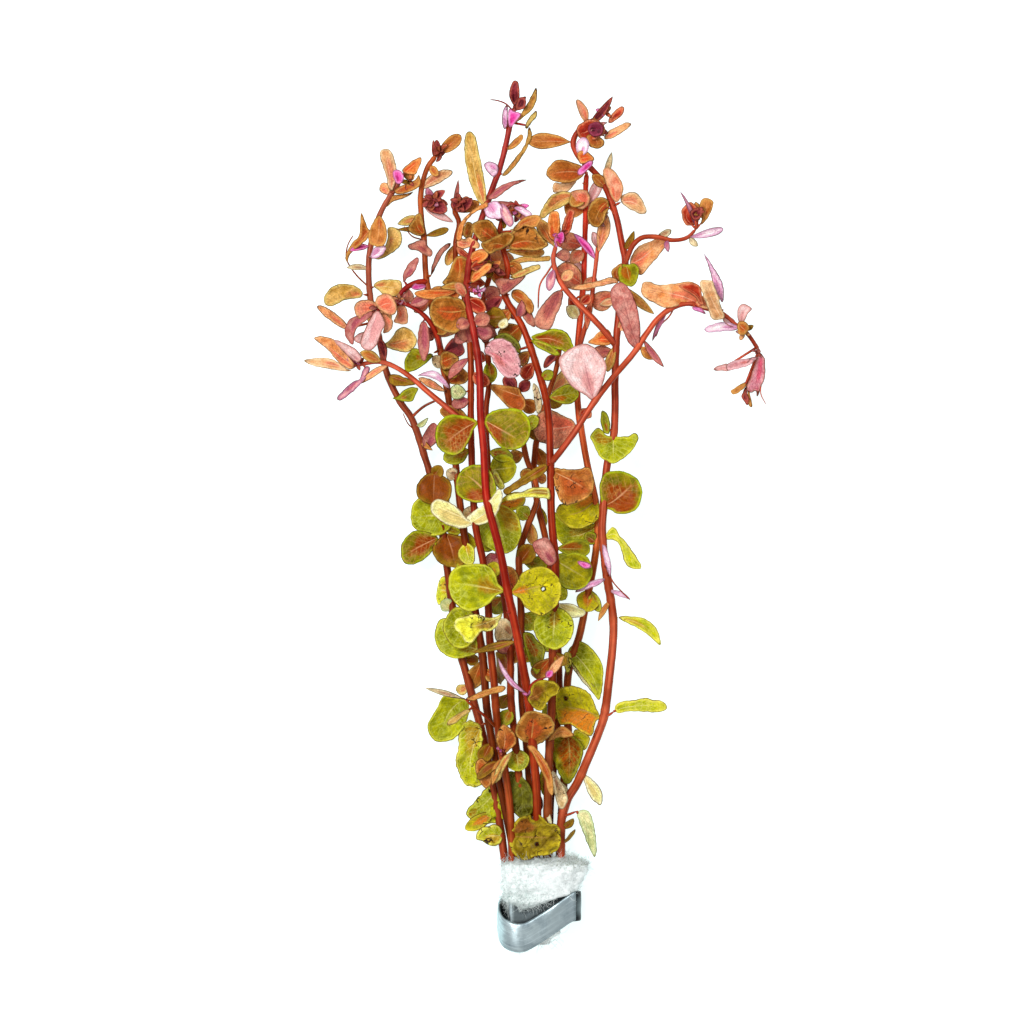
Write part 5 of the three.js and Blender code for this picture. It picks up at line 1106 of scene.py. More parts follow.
def makePiece(part, name, node, materials):
    mesh = bpy.data.meshes.new(name)
    mesh.from_pydata(part["points"], [], part["faces"])
    used = sorted(set(part["finishes"]))
    for finish in used:
        mesh.materials.append(materials[finish])
    mesh.polygons.foreach_set("material_index", [used.index(finish) for finish in part["finishes"]])
    mesh.polygons.foreach_set("use_smooth", [True] * len(mesh.polygons))
    layer = mesh.uv_layers.new(name="surface")
    corners = [0] * len(mesh.loops)
    mesh.loops.foreach_get("vertex_index", corners)
    layer.data.foreach_set("uv", [number for corner in corners for number in part["uvs"][corner]])
    for index, attributeName in enumerate(attributeNames):
        attribute = mesh.attributes.new(attributeName, "FLOAT", "POINT")
        attribute.data.foreach_set("value", [values[index] for values in part["values"]])
    mesh.update()
    piece = bpy.data.objects.new(name, mesh)
    bpy.context.scene.collection.objects.link(piece)
    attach(piece, "root")
    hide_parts(node)
    return piece


# A round stalk along a path, swollen a little at its joints and narrowing to its tip.
stalkShape = {"sides": 12, "spacing": 1.1, "tipShare": 0.62, "swelling": 0.1, "swellingLength": 1.1,
              "wobble": 0.05, "bluntTip": 0.35, "lowest": 0.05}
fineSides = 6                       # for hairs and the stalks of small leaves
archUp = Vector((0, 0, 0.3))        # a short stalk arches up this far in mm


def addStalk(part, path, radius, joints, finish, seed, tipShare=None, sides=None):
    shape = stalkShape
    tipShare = tipShare or shape["tipShare"]
    sides = sides or shape["sides"]
    last = len(path) - 1
    rings = []
    reach = 0.0
    for index, centre in enumerate(path):
        ahead = path[min(index + 1, last)] - path[max(index - 1, 0)]
        ahead.normalize()
        side = Vector((0, 0.05, 1))
        side = (side - ahead * side.dot(ahead)).normalized()
        other = ahead.cross(side)
        share = index / last
        if index:
            reach += (centre - path[index - 1]).length
        knot = max([math.exp(-((share - joint) * last * shape["spacing"] / shape["swellingLength"]) ** 2)
                    for joint in joints] + [0.0])
        width = radius * (1 - (1 - tipShare) * share ** 2) * (1 + shape["swelling"] * knot)
        if index == last:
            width *= shape["bluntTip"]
        ring = []
        for corner in range(sides):
            angle = 2 * math.pi * corner / sides
            outward = side * math.cos(angle) + other * math.sin(angle)
            uneven = 1 + shape["wobble"] * noise.noise(centre * 0.5 + outward + Vector((seed, 0, 0)))
            place = centre + outward * width * uneven
            place.z = max(place.z, shape["lowest"])
            uv = (0.5 + 0.5 * math.sin(angle), reach / 10)
            ring.append(addPoint(part, place, uv, along=share, knot=knot, seed=seed))
        rings.append(ring)
    joinRings(part, rings, finish)


# What a leaf's materials read at one place, and how deep the place lies inside a hole. The flushed patch is
# given by its place along and across the blade and its size.
leafMarking = {"scorchFrom": -0.4, "scorchTo": -0.05, "holeUneven": 0.35, "flushBorder": 0.15}


def leafValues(place, s, q, margin, mark):
    m = leafMarking
    depth = -9.0
    for column, row, size in mark["holes"]:
        away = place - at(column, row)
        away.z = 0
        uneven = 1 + m["holeUneven"] * noise.noise(away.normalized() * 1.6 + mark["offset"])
        depth = max(depth, size * mmPerPixel * uneven - away.length)
    along, across, size = mark["flush"]
    flushed = 1 - math.hypot((s - along) / size, (q - across) / size * 0.8)
    values = {"flush": clamp(flushed + m["flushBorder"], -0.8, 1), "spots": clamp(mark["spots"]),
              "seed": mark["seed"] * 0.37 % 10, "along": s, "edge": margin,
              "scorch": smoothStep(depth, m["scorchFrom"], m["scorchTo"])}
    return values, depth


# A plain leaf's half width, past a bare stalk, is sin(pi s^shift) to a power that goes from the base's to the
# tip's: the lower, the rounder.
leafShapes = {
    # shift, base, tip, bare stalk's share, cup, bend and the stalk's half width in mm
    "round": (0.97, 0.55, 0.48, 0.07, 0.2, 0.02, 0.35),
    "oval": (1.18, 0.75, 0.52, 0.07, 0.32, 0.05, 0.28),
    "long": (1.5, 0.62, 0.46, 0.05, 0.3, 0.06, 0.26),
    "lance": (0.95, 0.8, 0.72, 0.04, 0.35, 0.08, 0.22),
}
bladeShape = {"thickness": 0.32, "cellMm": 0.62, "cellsLong": 34, "grooveMm": 0.14, "grooveWidth": 0.45,
              "wave": 0.13, "waves": 1.6, "tipCurl": 0.12, "rumpleMm": 0.22, "edgeWobble": 0.07,
              "lowest": 0.2}


# How far a blade waves up and down at a place, more the nearer the edge and differently on its two sides.
def waveAt(s, q, half, wave, phase):
    turn = 2 * math.pi * bladeShape["waves"] * s
    return wave * half * q * q * math.sin(turn + phase + (2 if q > 0 else 0))


def addLeaf(part, paths, row, seed, marks=None):
    baseColumn, baseRow, tipColumn, tipRow, width, lift, roll, shapeName, look = row[:9]
    sweep = row[9] if len(row) > 9 else 0
    marks = marks or {}
    shape = bladeShape
    shift, basePower, tipPower, bare, formCup, bend, stalkHalf = leafShapes[shapeName]
    chance = random.Random(seed)
    base = nearestOf(paths, at(baseColumn, baseRow))
    tip = at(tipColumn, tipRow, base.z + lift)
    along = (tip - base).normalized()
    length = (tip - base).length
    across = Vector((along.y, -along.x, 0)).normalized()
    normal = across.cross(along).normalized()
    turn = math.radians(roll)
    across, normal = (across * math.cos(turn) + along.cross(across) * math.sin(turn),
                      normal * math.cos(turn) + along.cross(normal) * math.sin(turn))
    halfWidth = width * mmPerPixel / 2
    rows = int(clamp(length / shape["cellMm"], 10, shape["cellsLong"]))
    columns = 2 * int(clamp(halfWidth / shape["cellMm"], 3, shape["cellsLong"] / 2))
    wave = shape["wave"] * chance.uniform(0.3, 1.3) * marks.get("wave", 1)
    phase, twist = chance.uniform(0, 6.3), chance.uniform(-0.2, 0.2)
    curl = shape["tipCurl"] * chance.uniform(-1, 0.7) * marks.get("curl", 1)
    rumple = shape["rumpleMm"] * marks.get("rumple", 0.6)
    ragged = shape["edgeWobble"] * marks.get("ragged", 1)
    cup = formCup * chance.uniform(0.5, 1.3) * marks.get("cup", 1)
    flush = (chance.uniform(0.15, 0.45), chance.uniform(-0.3, 0.3), chance.uniform(0.35, 0.6))
    offset = Vector((seed * 3.7, seed * 1.3, 0))
    mark = {"flush": flush, "spots": leafLooks[look][-1] * chance.uniform(0.4, 1.6), "holes": [],
            "seed": seed, "offset": offset, **marks}

    def surfacePoint(s, q):
        grown = clamp((s - bare) / (1 - bare))
        profile = max(math.sin(math.pi * grown ** shift), 0) ** mixNumbers(basePower, tipPower, grown)
        uneven = 1 + ragged * noise.noise(offset + Vector((s * 4, 3 * (q > 0), 0)))
        uneven += 0.35 * ragged * noise.noise(offset + Vector((s * 17, 3 * (q > 0), 0)))
        half = max(halfWidth * profile * uneven, stalkHalf * (1 - 0.8 * s))
        place = base + along * (s * length) + across * (q * half + 4 * sweep * s * (1 - s))
        raised = bend * length * math.sin(math.pi * s) + abs(q) ** 1.5 * cup * half
        raised += waveAt(s, q, half, wave, phase)
        raised += twist * half * q * s - curl * length * s ** 3
        raised -= shape["grooveMm"] * math.exp(-(q * half / shape["grooveWidth"]) ** 2) * profile
        raised += rumple * noise.noise(offset + Vector((s * length * 0.45, q * half * 0.45, 0)))
        return place + normal * raised, half, profile

    top, bottom = {}, {}
    for i in range(rows + 1):
        even = i / rows
        s = 0.35 * even + 0.65 * (1 - math.cos(math.pi * even)) / 2
        for j in range(columns + 1):
            q = math.sin((2 * j / columns - 1) * math.pi / 2) * 0.4 + (2 * j / columns - 1) * 0.6
            place, half, profile = surfacePoint(s, q)
            thick = shape["thickness"] / 2 * (1 - 0.5 * q * q) * (0.5 + 0.5 * profile)
            values, _ = leafValues(place, s, q, min((1 - abs(q)) * half, (1 - s) * length), mark)
            for skin, side in ((top, thick), (bottom, -thick)):
                corner = place + normal * side
                corner.z = max(corner.z, shape["lowest"] + side + thick)
                skin[i, j] = addPoint(part, corner, (q / 2 + 0.5, s), **values)
    rings = [((i, j), (i, j + 1), (i + 1, j + 1), (i + 1, j)) for i in range(rows) for j in range(columns)]
    joinSkins(part, rings, top, bottom, look)


# A cut leaf follows a traced edge. Its inside is meshed flat, then lifted along the midrib, cupped, rumpled
# and creased, and a thin stalk joins it to what it grows from.
cutShape = {"stepMm": 0.45, "cellMm": 0.56, "rowShare": 0.87, "thickness": 0.3, "cup": 0.24, "wave": 0.14,
            "arch": 0.04, "rumpleMm": 0.45, "creaseMm": 0.7, "grooveMm": 0.2, "grooveWidth": 0.4,
            "raggedMm": 0.16, "stalkMm": 0.42, "stalkTip": 0.8, "stalkSpacing": 0.7, "shortest": 0.5}


def makeTree(places):
    tree = kdtree.KDTree(len(places))
    for index, place in enumerate(places):
        tree.insert(place, index)
    tree.balance()
    return tree


def addCutLeaf(part, paths, row, seed, marks=None, stalkTone="umber"):
    tone, up, lift, ribNumbers, edgeNumbers = row
    marks = marks or {}
    shape = cutShape
    look = marks.get("look", tone)
    chance = random.Random(seed)
    offset = Vector((seed * 3.7, seed * 1.3, 0))
    rib = smoothPath(pixelPoints(ribNumbers), shape["stepMm"])
    edge = smoothPath(pixelPoints(edgeNumbers), shape["stepMm"], closed=True)[:-1]
    last = len(rib) - 1
    length = shape["stepMm"] * last
    start = nearestOf(paths, rib[0])
    phase = chance.uniform(0, 6.3)
    cup = shape["cup"] * chance.uniform(0.5, 1.3) * marks.get("cup", 1)
    wave = shape["wave"] * chance.uniform(0.4, 1.3) * marks.get("wave", 1)
    rumple = shape["rumpleMm"] * marks.get("rumple", 1)
    crease = shape["creaseMm"] * marks.get("crease", chance.uniform(0.2, 1))
    ragged = shape["raggedMm"] * marks.get("ragged", 1)
    flush = (chance.uniform(0.1, 0.4), chance.uniform(-0.4, 0.4), chance.uniform(0.35, 0.6))
    mark = {"flush": flush, "spots": leafLooks[look][-1] * chance.uniform(0.5, 1.8), "holes": [],
            "seed": seed, "offset": offset, **marks}
    cutEdge = []
    for index, place in enumerate(edge):
        ahead = edge[(index + 1) % len(edge)] - edge[index - 1]
        out = Vector((ahead.y, -ahead.x, 0)).normalized()
        cutEdge.append(place + out * ragged * noise.noise(offset + place * 0.8))
    ribTree, edgeTree = makeTree(rib), makeTree(cutEdge)

    def blade(x, y, onEdge):
        place = Vector((x, y, 0))
        _, index, _ = ribTree.find(place)
        ahead = (rib[min(index + 1, last)] - rib[max(index - 1, 0)]).normalized()
        away = place - rib[index]
        aside = away.x * ahead.y - away.y * ahead.x
        if index in (0, last):
            aside = math.copysign(away.length, aside)
        s = clamp((index + away.dot(ahead) / shape["stepMm"]) / last)
        margin = 0 if onEdge else edgeTree.find(place)[2]
        half = abs(aside) + margin
        q = aside / max(half, 0.01)
        raised = shape["arch"] * length * math.sin(math.pi * s) + abs(q) ** 1.5 * cup * half
        raised += waveAt(s, q, half, wave, phase)
        raised += rumple * noise.noise(offset + place * 0.42)
        raised += crease * max(0, 1 - 6 * abs(noise.noise(offset + place * 0.23)))
        raised -= shape["grooveMm"] * math.exp(-(aside / shape["grooveWidth"]) ** 2)
        values, depth = leafValues(place, s, q, margin, mark)
        place.z = start.z + up + lift * s + raised
        return place, (q / 2 + 0.5, s), values, depth

    flat = [place.xy for place in cutEdge]
    cell = marks.get("cellMm", shape["cellMm"])
    lowX, highX = min(p.x for p in flat), max(p.x for p in flat)
    lowY, highY = min(p.y for p in flat), max(p.y for p in flat)
    for line in range(int((highY - lowY) / (cell * shape["rowShare"])) + 1):
        for step in range(int((highX - lowX) / cell) + 2):
            shifted = step + 0.5 * (line % 2)
            place = Vector((lowX + shifted * cell, lowY + line * cell * shape["rowShare"], 0))
            if edgeTree.find(place)[2] > cell * 0.6:
                flat.append(place.xy)
    points, _, triangles, sources, _, _ = delaunay_2d_cdt(flat, [], [list(range(len(cutEdge)))], 1, 1e-5)
    thick = shape["thickness"] / 2
    top, bottom, depths = {}, {}, {}
    for index in {corner for triangle in triangles for corner in triangle}:
        onEdge = any(source < len(cutEdge) for source in sources[index]) or not sources[index]
        place, uv, values, depths[index] = blade(*points[index], onEdge)
        place.z = max(place.z, bladeShape["lowest"] + 2 * thick)
        top[index] = addPoint(part, place + Vector((0, 0, thick)), uv, **values)
        bottom[index] = addPoint(part, place - Vector((0, 0, thick)), uv, **values)
    rings = []
    for a, b, c in triangles:
        if min(depths[a], depths[b], depths[c]) > 0:
            continue
        turned = (points[b] - points[a]).cross(points[c] - points[a]) < 0
        rings.append((a, c, b) if turned else (a, b, c))
    joinSkins(part, rings, top, bottom, look)
    foot, _, _, _ = blade(rib[1].x, rib[1].y, False)
    if (foot - start).length > shape["shortest"]:
        stalk = smoothPath([start, start.lerp(foot, 0.5) + archUp, foot], shape["stalkSpacing"])
        addStalk(part, stalk, shape["stalkMm"], [], stalkTone, seed, shape["stalkTip"], fineSides)

# What sets a leaf apart: holes as columns, rows and sizes in pixels, and the flushed patch's place along and
# across the blade and its size. The other numbers multiply a leaf's usual shape.
unflushed = (-0.5, 0, 0.3)
leafMarks = {
    "leaf_01": {"look": "spent", "holes": [(537, 845, 1.8)], "flush": (0.25, -0.6, 0.32), "rumple": 2,
                "wave": 2, "spots": 1.0, "cellMm": 0.36, "crease": 1.6, "ragged": 1.6},
    "leaf_02": {"flush": (1.1, 0.2, 0.4), "rumple": 2, "wave": 1.6, "spots": 1.0, "ragged": 2},
    "leaf_03": {"flush": unflushed, "spots": 0.3},
    "leaf_04": {"look": "yellow", "rumple": 2.4, "wave": 2.5, "spots": 0.9, "ragged": 2.5},
    "leaf_05": {"look": "bronze", "flush": (0.4, 0, 0.5), "rumple": 2.4, "wave": 2, "spots": 1.0,
                "ragged": 2},
    "leaf_06": {"look": "old", "holes": [(566, 699, 1.6)], "flush": (0.4, -0.6, 0.6), "rumple": 2,
                "spots": 1.0, "cellMm": 0.4, "ragged": 1.5},
    "leaf_07": {"look": "olive", "flush": (0.3, 0, 0.7), "spots": 0.9, "rumple": 2.6, "ragged": 1.5,
                "crease": 2.5},
    "leaf_08": {"look": "lime", "flush": unflushed, "spots": 0.5, "rumple": 1.4},
    "leaf_09": {"look": "yellow", "flush": unflushed, "spots": 0.1},
    "leaf_10": {"look": "lime", "flush": (0.2, 0, 0.6), "spots": 0.2},
    "leaf_11": {"look": "old", "holes": [(543, 588, 2.0)], "flush": (0.1, 0, 0.4), "spots": 0.85,
                "cellMm": 0.3},
    "leaf_12": {"flush": unflushed},
    "leaf_13": {"flush": (0.35, 0, 0.6)},
    "leaf_14": {"look": "rust", "flush": (0.3, 0, 0.8)},
    "leaf_17": {"flush": (0.15, -0.6, 0.55)},
    "leaf_18": {"flush": unflushed},
    "leaf_19": {"flush": (0.2, 0.5, 0.7)},
    "leaf_20": {"flush": (0.25, 0, 0.9)},
    "leaf_21": {"flush": (0.4, 0, 0.9)},
    "leaf_22": {"flush": (0.6, 0.2, 0.5), "rumple": 2.2, "wave": 1.6, "spots": 0.9, "ragged": 1.6},
    "leaf_23": {"look": "old", "flush": (0.1, 0.6, 0.6), "spots": 0.9, "rumple": 1.5},
    "leaf_24": {"flush": (0.2, 0.5, 0.6)},
    "leaf_25": {"flush": unflushed},
    "leaf_26": {"flush": (0.1, 0.5, 0.35), "spots": 0.2},
    "leaf_27": {"flush": (0.2, 0.3, 0.85)},
    "leaf_28": {"look": "yellow", "flush": unflushed, "spots": 0.5},
    "leaf_29": {"look": "yellow", "flush": (0.35, 0.1, 0.45)},
    "leaf_30": {"look": "lime", "flush": (0.2, 0, 0.35), "spots": 1.0},
    "leaf_31": {"spots": 0.7},
    "leaf_33": {"flush": (0.3, -0.6, 0.45), "spots": 0.5},
    "leaf_34": {"look": "bronze", "flush": (0.5, 0, 0.4)},
    "leaf_35": {"cup": 1.4},
    "leaf_36": {"look": "rose", "flush": unflushed, "wave": 1.6},
    "leaf_37": {"look": "orchid", "spots": 1.0, "rumple": 2.0, "wave": 1.5},
    "leaf_38": {"look": "blush", "flush": (0.15, 0, 0.75)},
    "leaf_39": {"look": "salmon", "wave": 1.8, "rumple": 1.6},
    "leaf_40": {"wave": 2.2, "rumple": 2.0},
}

# Small leaves that are crumpled or torn, by the column and row of their base.
smallMarks = {
    (502, 838): {"rumple": 2, "spots": 0.9, "crease": 1.5},
    (508, 611): {"rumple": 3, "wave": 3, "ragged": 2, "spots": 1.0, "crease": 2},
    (529, 698): {"rumple": 3, "ragged": 2, "spots": 1.0, "crease": 2},
    (503, 752): {"rumple": 2, "spots": 0.9, "crease": 1.6, "flush": (0.3, 0.5, 0.6)},
    (514, 774): {"spots": 0.6, "flush": unflushed},
    (577, 814): {"spots": 0.3, "flush": unflushed},
    (577, 425): {"rumple": 2, "crease": 1.6, "spots": 0.8},
    (719, 318): {"crease": 1.5, "spots": 0, "flush": unflushed},
    (359, 361): {"spots": 0, "flush": (0, 0, 0.4)},
}

stemTones = {"stem_1": "clay", "stem_2": "umber", "stem_3": "mahogany", "stem_4": "crimson",
             "stem_5": "mahogany", "stem_6": "umber", "stem_7": "umber", "stem_8": "cherry",
             "stem_9": "ember", "stem_10": "brick", "shoot_short": "garnet", "shoot_fan": "garnet"}
otherTone = "scarlet"
growthShape = {"twigTip": 0.7, "twigSides": 8, "hairSpacing": 0.7, "hairTip": 0.7}

# Each leaf draws from a seed of its own, so that a change to one leaves the others as they are.
seeds = {"perStem": 50, "firstLeaf": 1, "firstCut": 31, "perCrownedStem": 200, "perCrown": 17, "crown": 13,
         "firstLargeLeaf": 900, "perLargeLeaf": 7}

stalks = {**stems, **shoots}
spacing = stalkShape["spacing"]
lines = {name: smoothPath(pixelPoints(points, 3), spacing) for name, (width, points) in stalks.items()}
twigLines = [(parent, width, smoothPath(pixelPoints(points, 3), spacing)) for parent, width, points in twigs]
growth = {name: [line] + [twig for parent, _, twig in twigLines if parent == name]
          for name, line in lines.items()}


# A crown is a rosette of small leaves on a short stalk, the inner ones upright and the outer ones spread. Its
# pairs of numbers are for the innermost and the outermost leaf, the lifts for a crown of the usual radius.
crownShape = {"stalkMm": 0.5, "stalkTip": 0.7, "riseMm": 1.2, "turn": 2.4, "reach": (0.45, 1),
              "width": (0.75, 0.5), "lift": (3.4, 0.6), "usualRadius": 13, "roll": 35, "cup": 2.2, "curl": 2}


def addCrown(part, paths, row, tone, order):
    _, column, middleRow, radius, count, tones = row
    c = crownShape
    start = nearestOf(paths, at(column, middleRow))
    chance = random.Random(order * seeds["crown"])
    heart = at(column, middleRow, start.z + c["riseMm"])
    stalk = [start, start.lerp(heart, 0.5) + archUp, heart]
    addStalk(part, stalk, c["stalkMm"], [], tone, order, c["stalkTip"], fineSides)
    for index in range(count):
        share = index / (count - 1)
        angle = index * c["turn"] + chance.uniform(-0.3, 0.3)
        reach = radius * mixNumbers(*c["reach"], share) * chance.uniform(0.8, 1.15)
        lift = mixNumbers(*c["lift"], share) * radius / c["usualRadius"]
        leaf = [column, middleRow, column + reach * math.cos(angle), middleRow + reach * math.sin(angle),
                reach * mixNumbers(*c["width"], share), lift, chance.uniform(-c["roll"], c["roll"]), "oval",
                tones[index % len(tones)]]
        marks = {"cup": c["cup"], "curl": c["curl"]}
        addLeaf(part, [[heart, heart + Vector((0.01, 0, 0))]], leaf, order + index, marks)


# A stem or shoot with everything small that grows from it is one piece.
def growPiece(name, tone, order):
    g = growthShape
    part = newPart()
    path, paths = lines[name], growth[name]
    leaves, cuts = smallLeaves.get(name, []), cutLeaves.get(name, [])
    places = [row[:2] for row in leaves] + [row[3][:2] for row in cuts]
    places += [row[2:4] for row in largeLeaves if row[0] == name]
    joints = [nearestOnPath(path, at(*place))[1] for place in places]
    addStalk(part, path, stalks[name][0] * mmPerPixel / 2, joints, tone, order)
    for parent, width, twig in twigLines:
        if parent == name:
            addStalk(part, twig, width * mmPerPixel / 2, [], tone, order + 0.5, g["twigTip"], g["twigSides"])
    for index, (parent, width, points) in enumerate(hairs):
        if parent == name:
            places = pixelPoints(points, 3)
            hair = smoothPath([nearestOf(paths, places[0])] + places[1:], g["hairSpacing"])
            addStalk(part, hair, width * mmPerPixel / 2, [], tone, order + index, g["hairTip"], fineSides)
    for index, row in enumerate(crowns):
        if row[0] == name:
            addCrown(part, paths, row, tone, order * seeds["perCrownedStem"] + index * seeds["perCrown"])
    seed = order * seeds["perStem"]
    for index, row in enumerate(leaves):
        addLeaf(part, paths, row, seed + index + seeds["firstLeaf"], smallMarks.get(tuple(row[:2])))
    for index, row in enumerate(cuts):
        marks = smallMarks.get(tuple(row[3][:2]))
        addCutLeaf(part, paths, row, seed + index + seeds["firstCut"], marks, tone)
    return part


for order, name in enumerate(stalks):
    part = growPiece(name, stemTones.get(name, otherTone), order + 1)
    makePiece(part, name + "_grown", name, plantMaterials)
print("stems and shoots grown:", len(stalks))

for index, (parent, tone, *row) in enumerate(largeLeaves):
    name = f"leaf_{index + 1:02d}"
    part = newPart()
    paths, marks = growth[parent], leafMarks.get(name)
    seed = seeds["firstLargeLeaf"] + index * seeds["perLargeLeaf"]
    if isinstance(row[-1], list):
        cut = [tone, 0] + row[2:]
        addCutLeaf(part, paths, cut, seed, marks, stemTones.get(parent, otherTone))
    else:
        addLeaf(part, paths, row, seed, marks)
    makePiece(part, name + "_blade", name, plantMaterials)
print("large leaves cut:", len(largeLeaves))


# The lead strip's two faces, from the inner end to the outer end: a spiral of one and a half turns. Its rows
# are those of its middle line at even steps along it.
stripSizes = {"width": 8.3, "thickness": 1.0, "innerHeight": 9, "frontHeight": 12.8, "innerColumn": 509,
              "rightColumn": 582, "leftColumn": 497, "endColumn": 576, "gap": 0.3, "spacing": 0.8,
              "turnSteps": 24, "across": 14, "innerShare": 0.34, "dentMm": 0.16, "edgeRounding": 0.35,
              "widthUneven": 0.012, "lowest": 0.02,
              "rows": [918, 918, 914, 910, 909, 909, 909, 910, 911, 913, 922, 935, 938.5, 929.5, 918, 907]}


def stripLine():
    s = stripSizes
    middle = s["thickness"] / 2
    rightTurn, leftTurn = (s["innerHeight"] - s["thickness"]) / 2, (s["frontHeight"] - s["thickness"]) / 2
    rightX = at(s["rightColumn"], 0).x - rightTurn - middle
    leftX = at(s["leftColumn"], 0).x + leftTurn + middle
    dense = [Vector((at(s["innerColumn"], 0).x, 0, middle + 2 * rightTurn))]
    for centreX, turn, startAngle in ((rightX, rightTurn, math.pi / 2), (leftX, leftTurn, -math.pi / 2)):
        for tick in range(s["turnSteps"] + 1):
            angle = startAngle - math.pi * tick / s["turnSteps"]
            dense.append(Vector((centreX + turn * math.cos(angle), 0, middle + turn * (1 + math.sin(angle)))))
    dense.append(Vector((at(s["endColumn"], 0).x, 0, s["innerHeight"] + 2 * middle + s["gap"])))
    path = evenPoints(dense, s["spacing"])
    rows = s["rows"]
    for index, place in enumerate(path):
        reach = index / (len(path) - 1) * (len(rows) - 1)
        step = min(int(reach), len(rows) - 2)
        before, after = rows[max(step - 1, 0)], rows[min(step + 2, len(rows) - 1)]
        leave, arrive = (rows[step + 1] - before) / 2, (after - rows[step]) / 2
        place.y = at(0, easedPlace(rows[step], rows[step + 1], leave, arrive, reach - step)).y
    return path


def buildStrip():
    s = stripSizes
    part = newPart()
    path = stripLine()
    last = len(path) - 1
    rings = []
    reach = 0.0
    for index, centre in enumerate(path):
        ahead = path[min(index + 1, last)] - path[max(index - 1, 0)]
        outward = Vector((-ahead.z, 0, ahead.x)).normalized()
        if index:
            reach += (centre - path[index - 1]).length
        share = index / last
        inner = 1 - smoothStep(share, s["innerShare"], s["innerShare"] + 0.06)
        ring = []
        for face in (1, -1):
            half = s["width"] / 2 * (1 + s["widthUneven"] * noise.noise(Vector((reach * 0.3, face, 2))))
            for step in range(s["across"] + 1):
                q = (2 * step / s["across"] - 1) * face
                thick = s["thickness"] / 2 * (1 - s["edgeRounding"] * abs(q) ** 6)
                place = centre + Vector((0, q * half, 0)) + outward * face * thick
                dent = s["dentMm"] * noise.noise(Vector((reach * 0.22, q * 1.3, 5)))
                place += outward * dent * (1 - q * q * 0.3)
                place.z = max(place.z, s["lowest"])
                # painted shade inside the loop: one face of the strip all along, and the inner run's other
                # face too, more towards its edges and further along
                shaded = inner * (0.7 + 0.5 * share + 0.3 * q * q) if face > 0 else 0.9
                shaded *= smoothStep(share, 0.004, 0.02)
                ring.append(addPoint(part, place, (q / 2 + 0.5, reach / 50), along=share, scorch=shaded))
        rings.append(ring)
    joinRings(part, rings, "lead")
    makePiece(part, "lead_strip_bent", "lead_strip", {"lead": leadSheet()})


buildStrip()
print("strip wound")


# The floss: a lumpy wad pressed flat inside the strip, under a fur of loose fibres, with some more below it.
flossShape = {"topRow": 860, "footRow": 948, "width": 25.4, "waist": 21.4, "footWidth": 14, "depth": 12.8,
              "footDepth": 6.2, "topColumn": 546, "waistColumn": 540, "footColumn": 534, "topHeight": 6.6,
              "footHeight": 4.6, "lowest": 1.35, "rings": 60, "sides": 96, "lumpMm": 1.0, "tuftMm": 1.6,
              "lip": 0.44, "lipSag": 0.11, "fan": (0.55, 0.95), "rimRows": (862, 876), "lowRows": (874, 902),
              "leftColumns": (512, 562), "gritColumns": (535, 570)}
fibreShape = {"count": 3200, "widthMm": 0.06, "length": (1.2, 4), "steps": 5, "sides": 3, "seed": 41,
              "spilled": 90, "spilledLength": (2, 6), "spilledColumns": (508, 560), "spilledRows": (936, 948)}


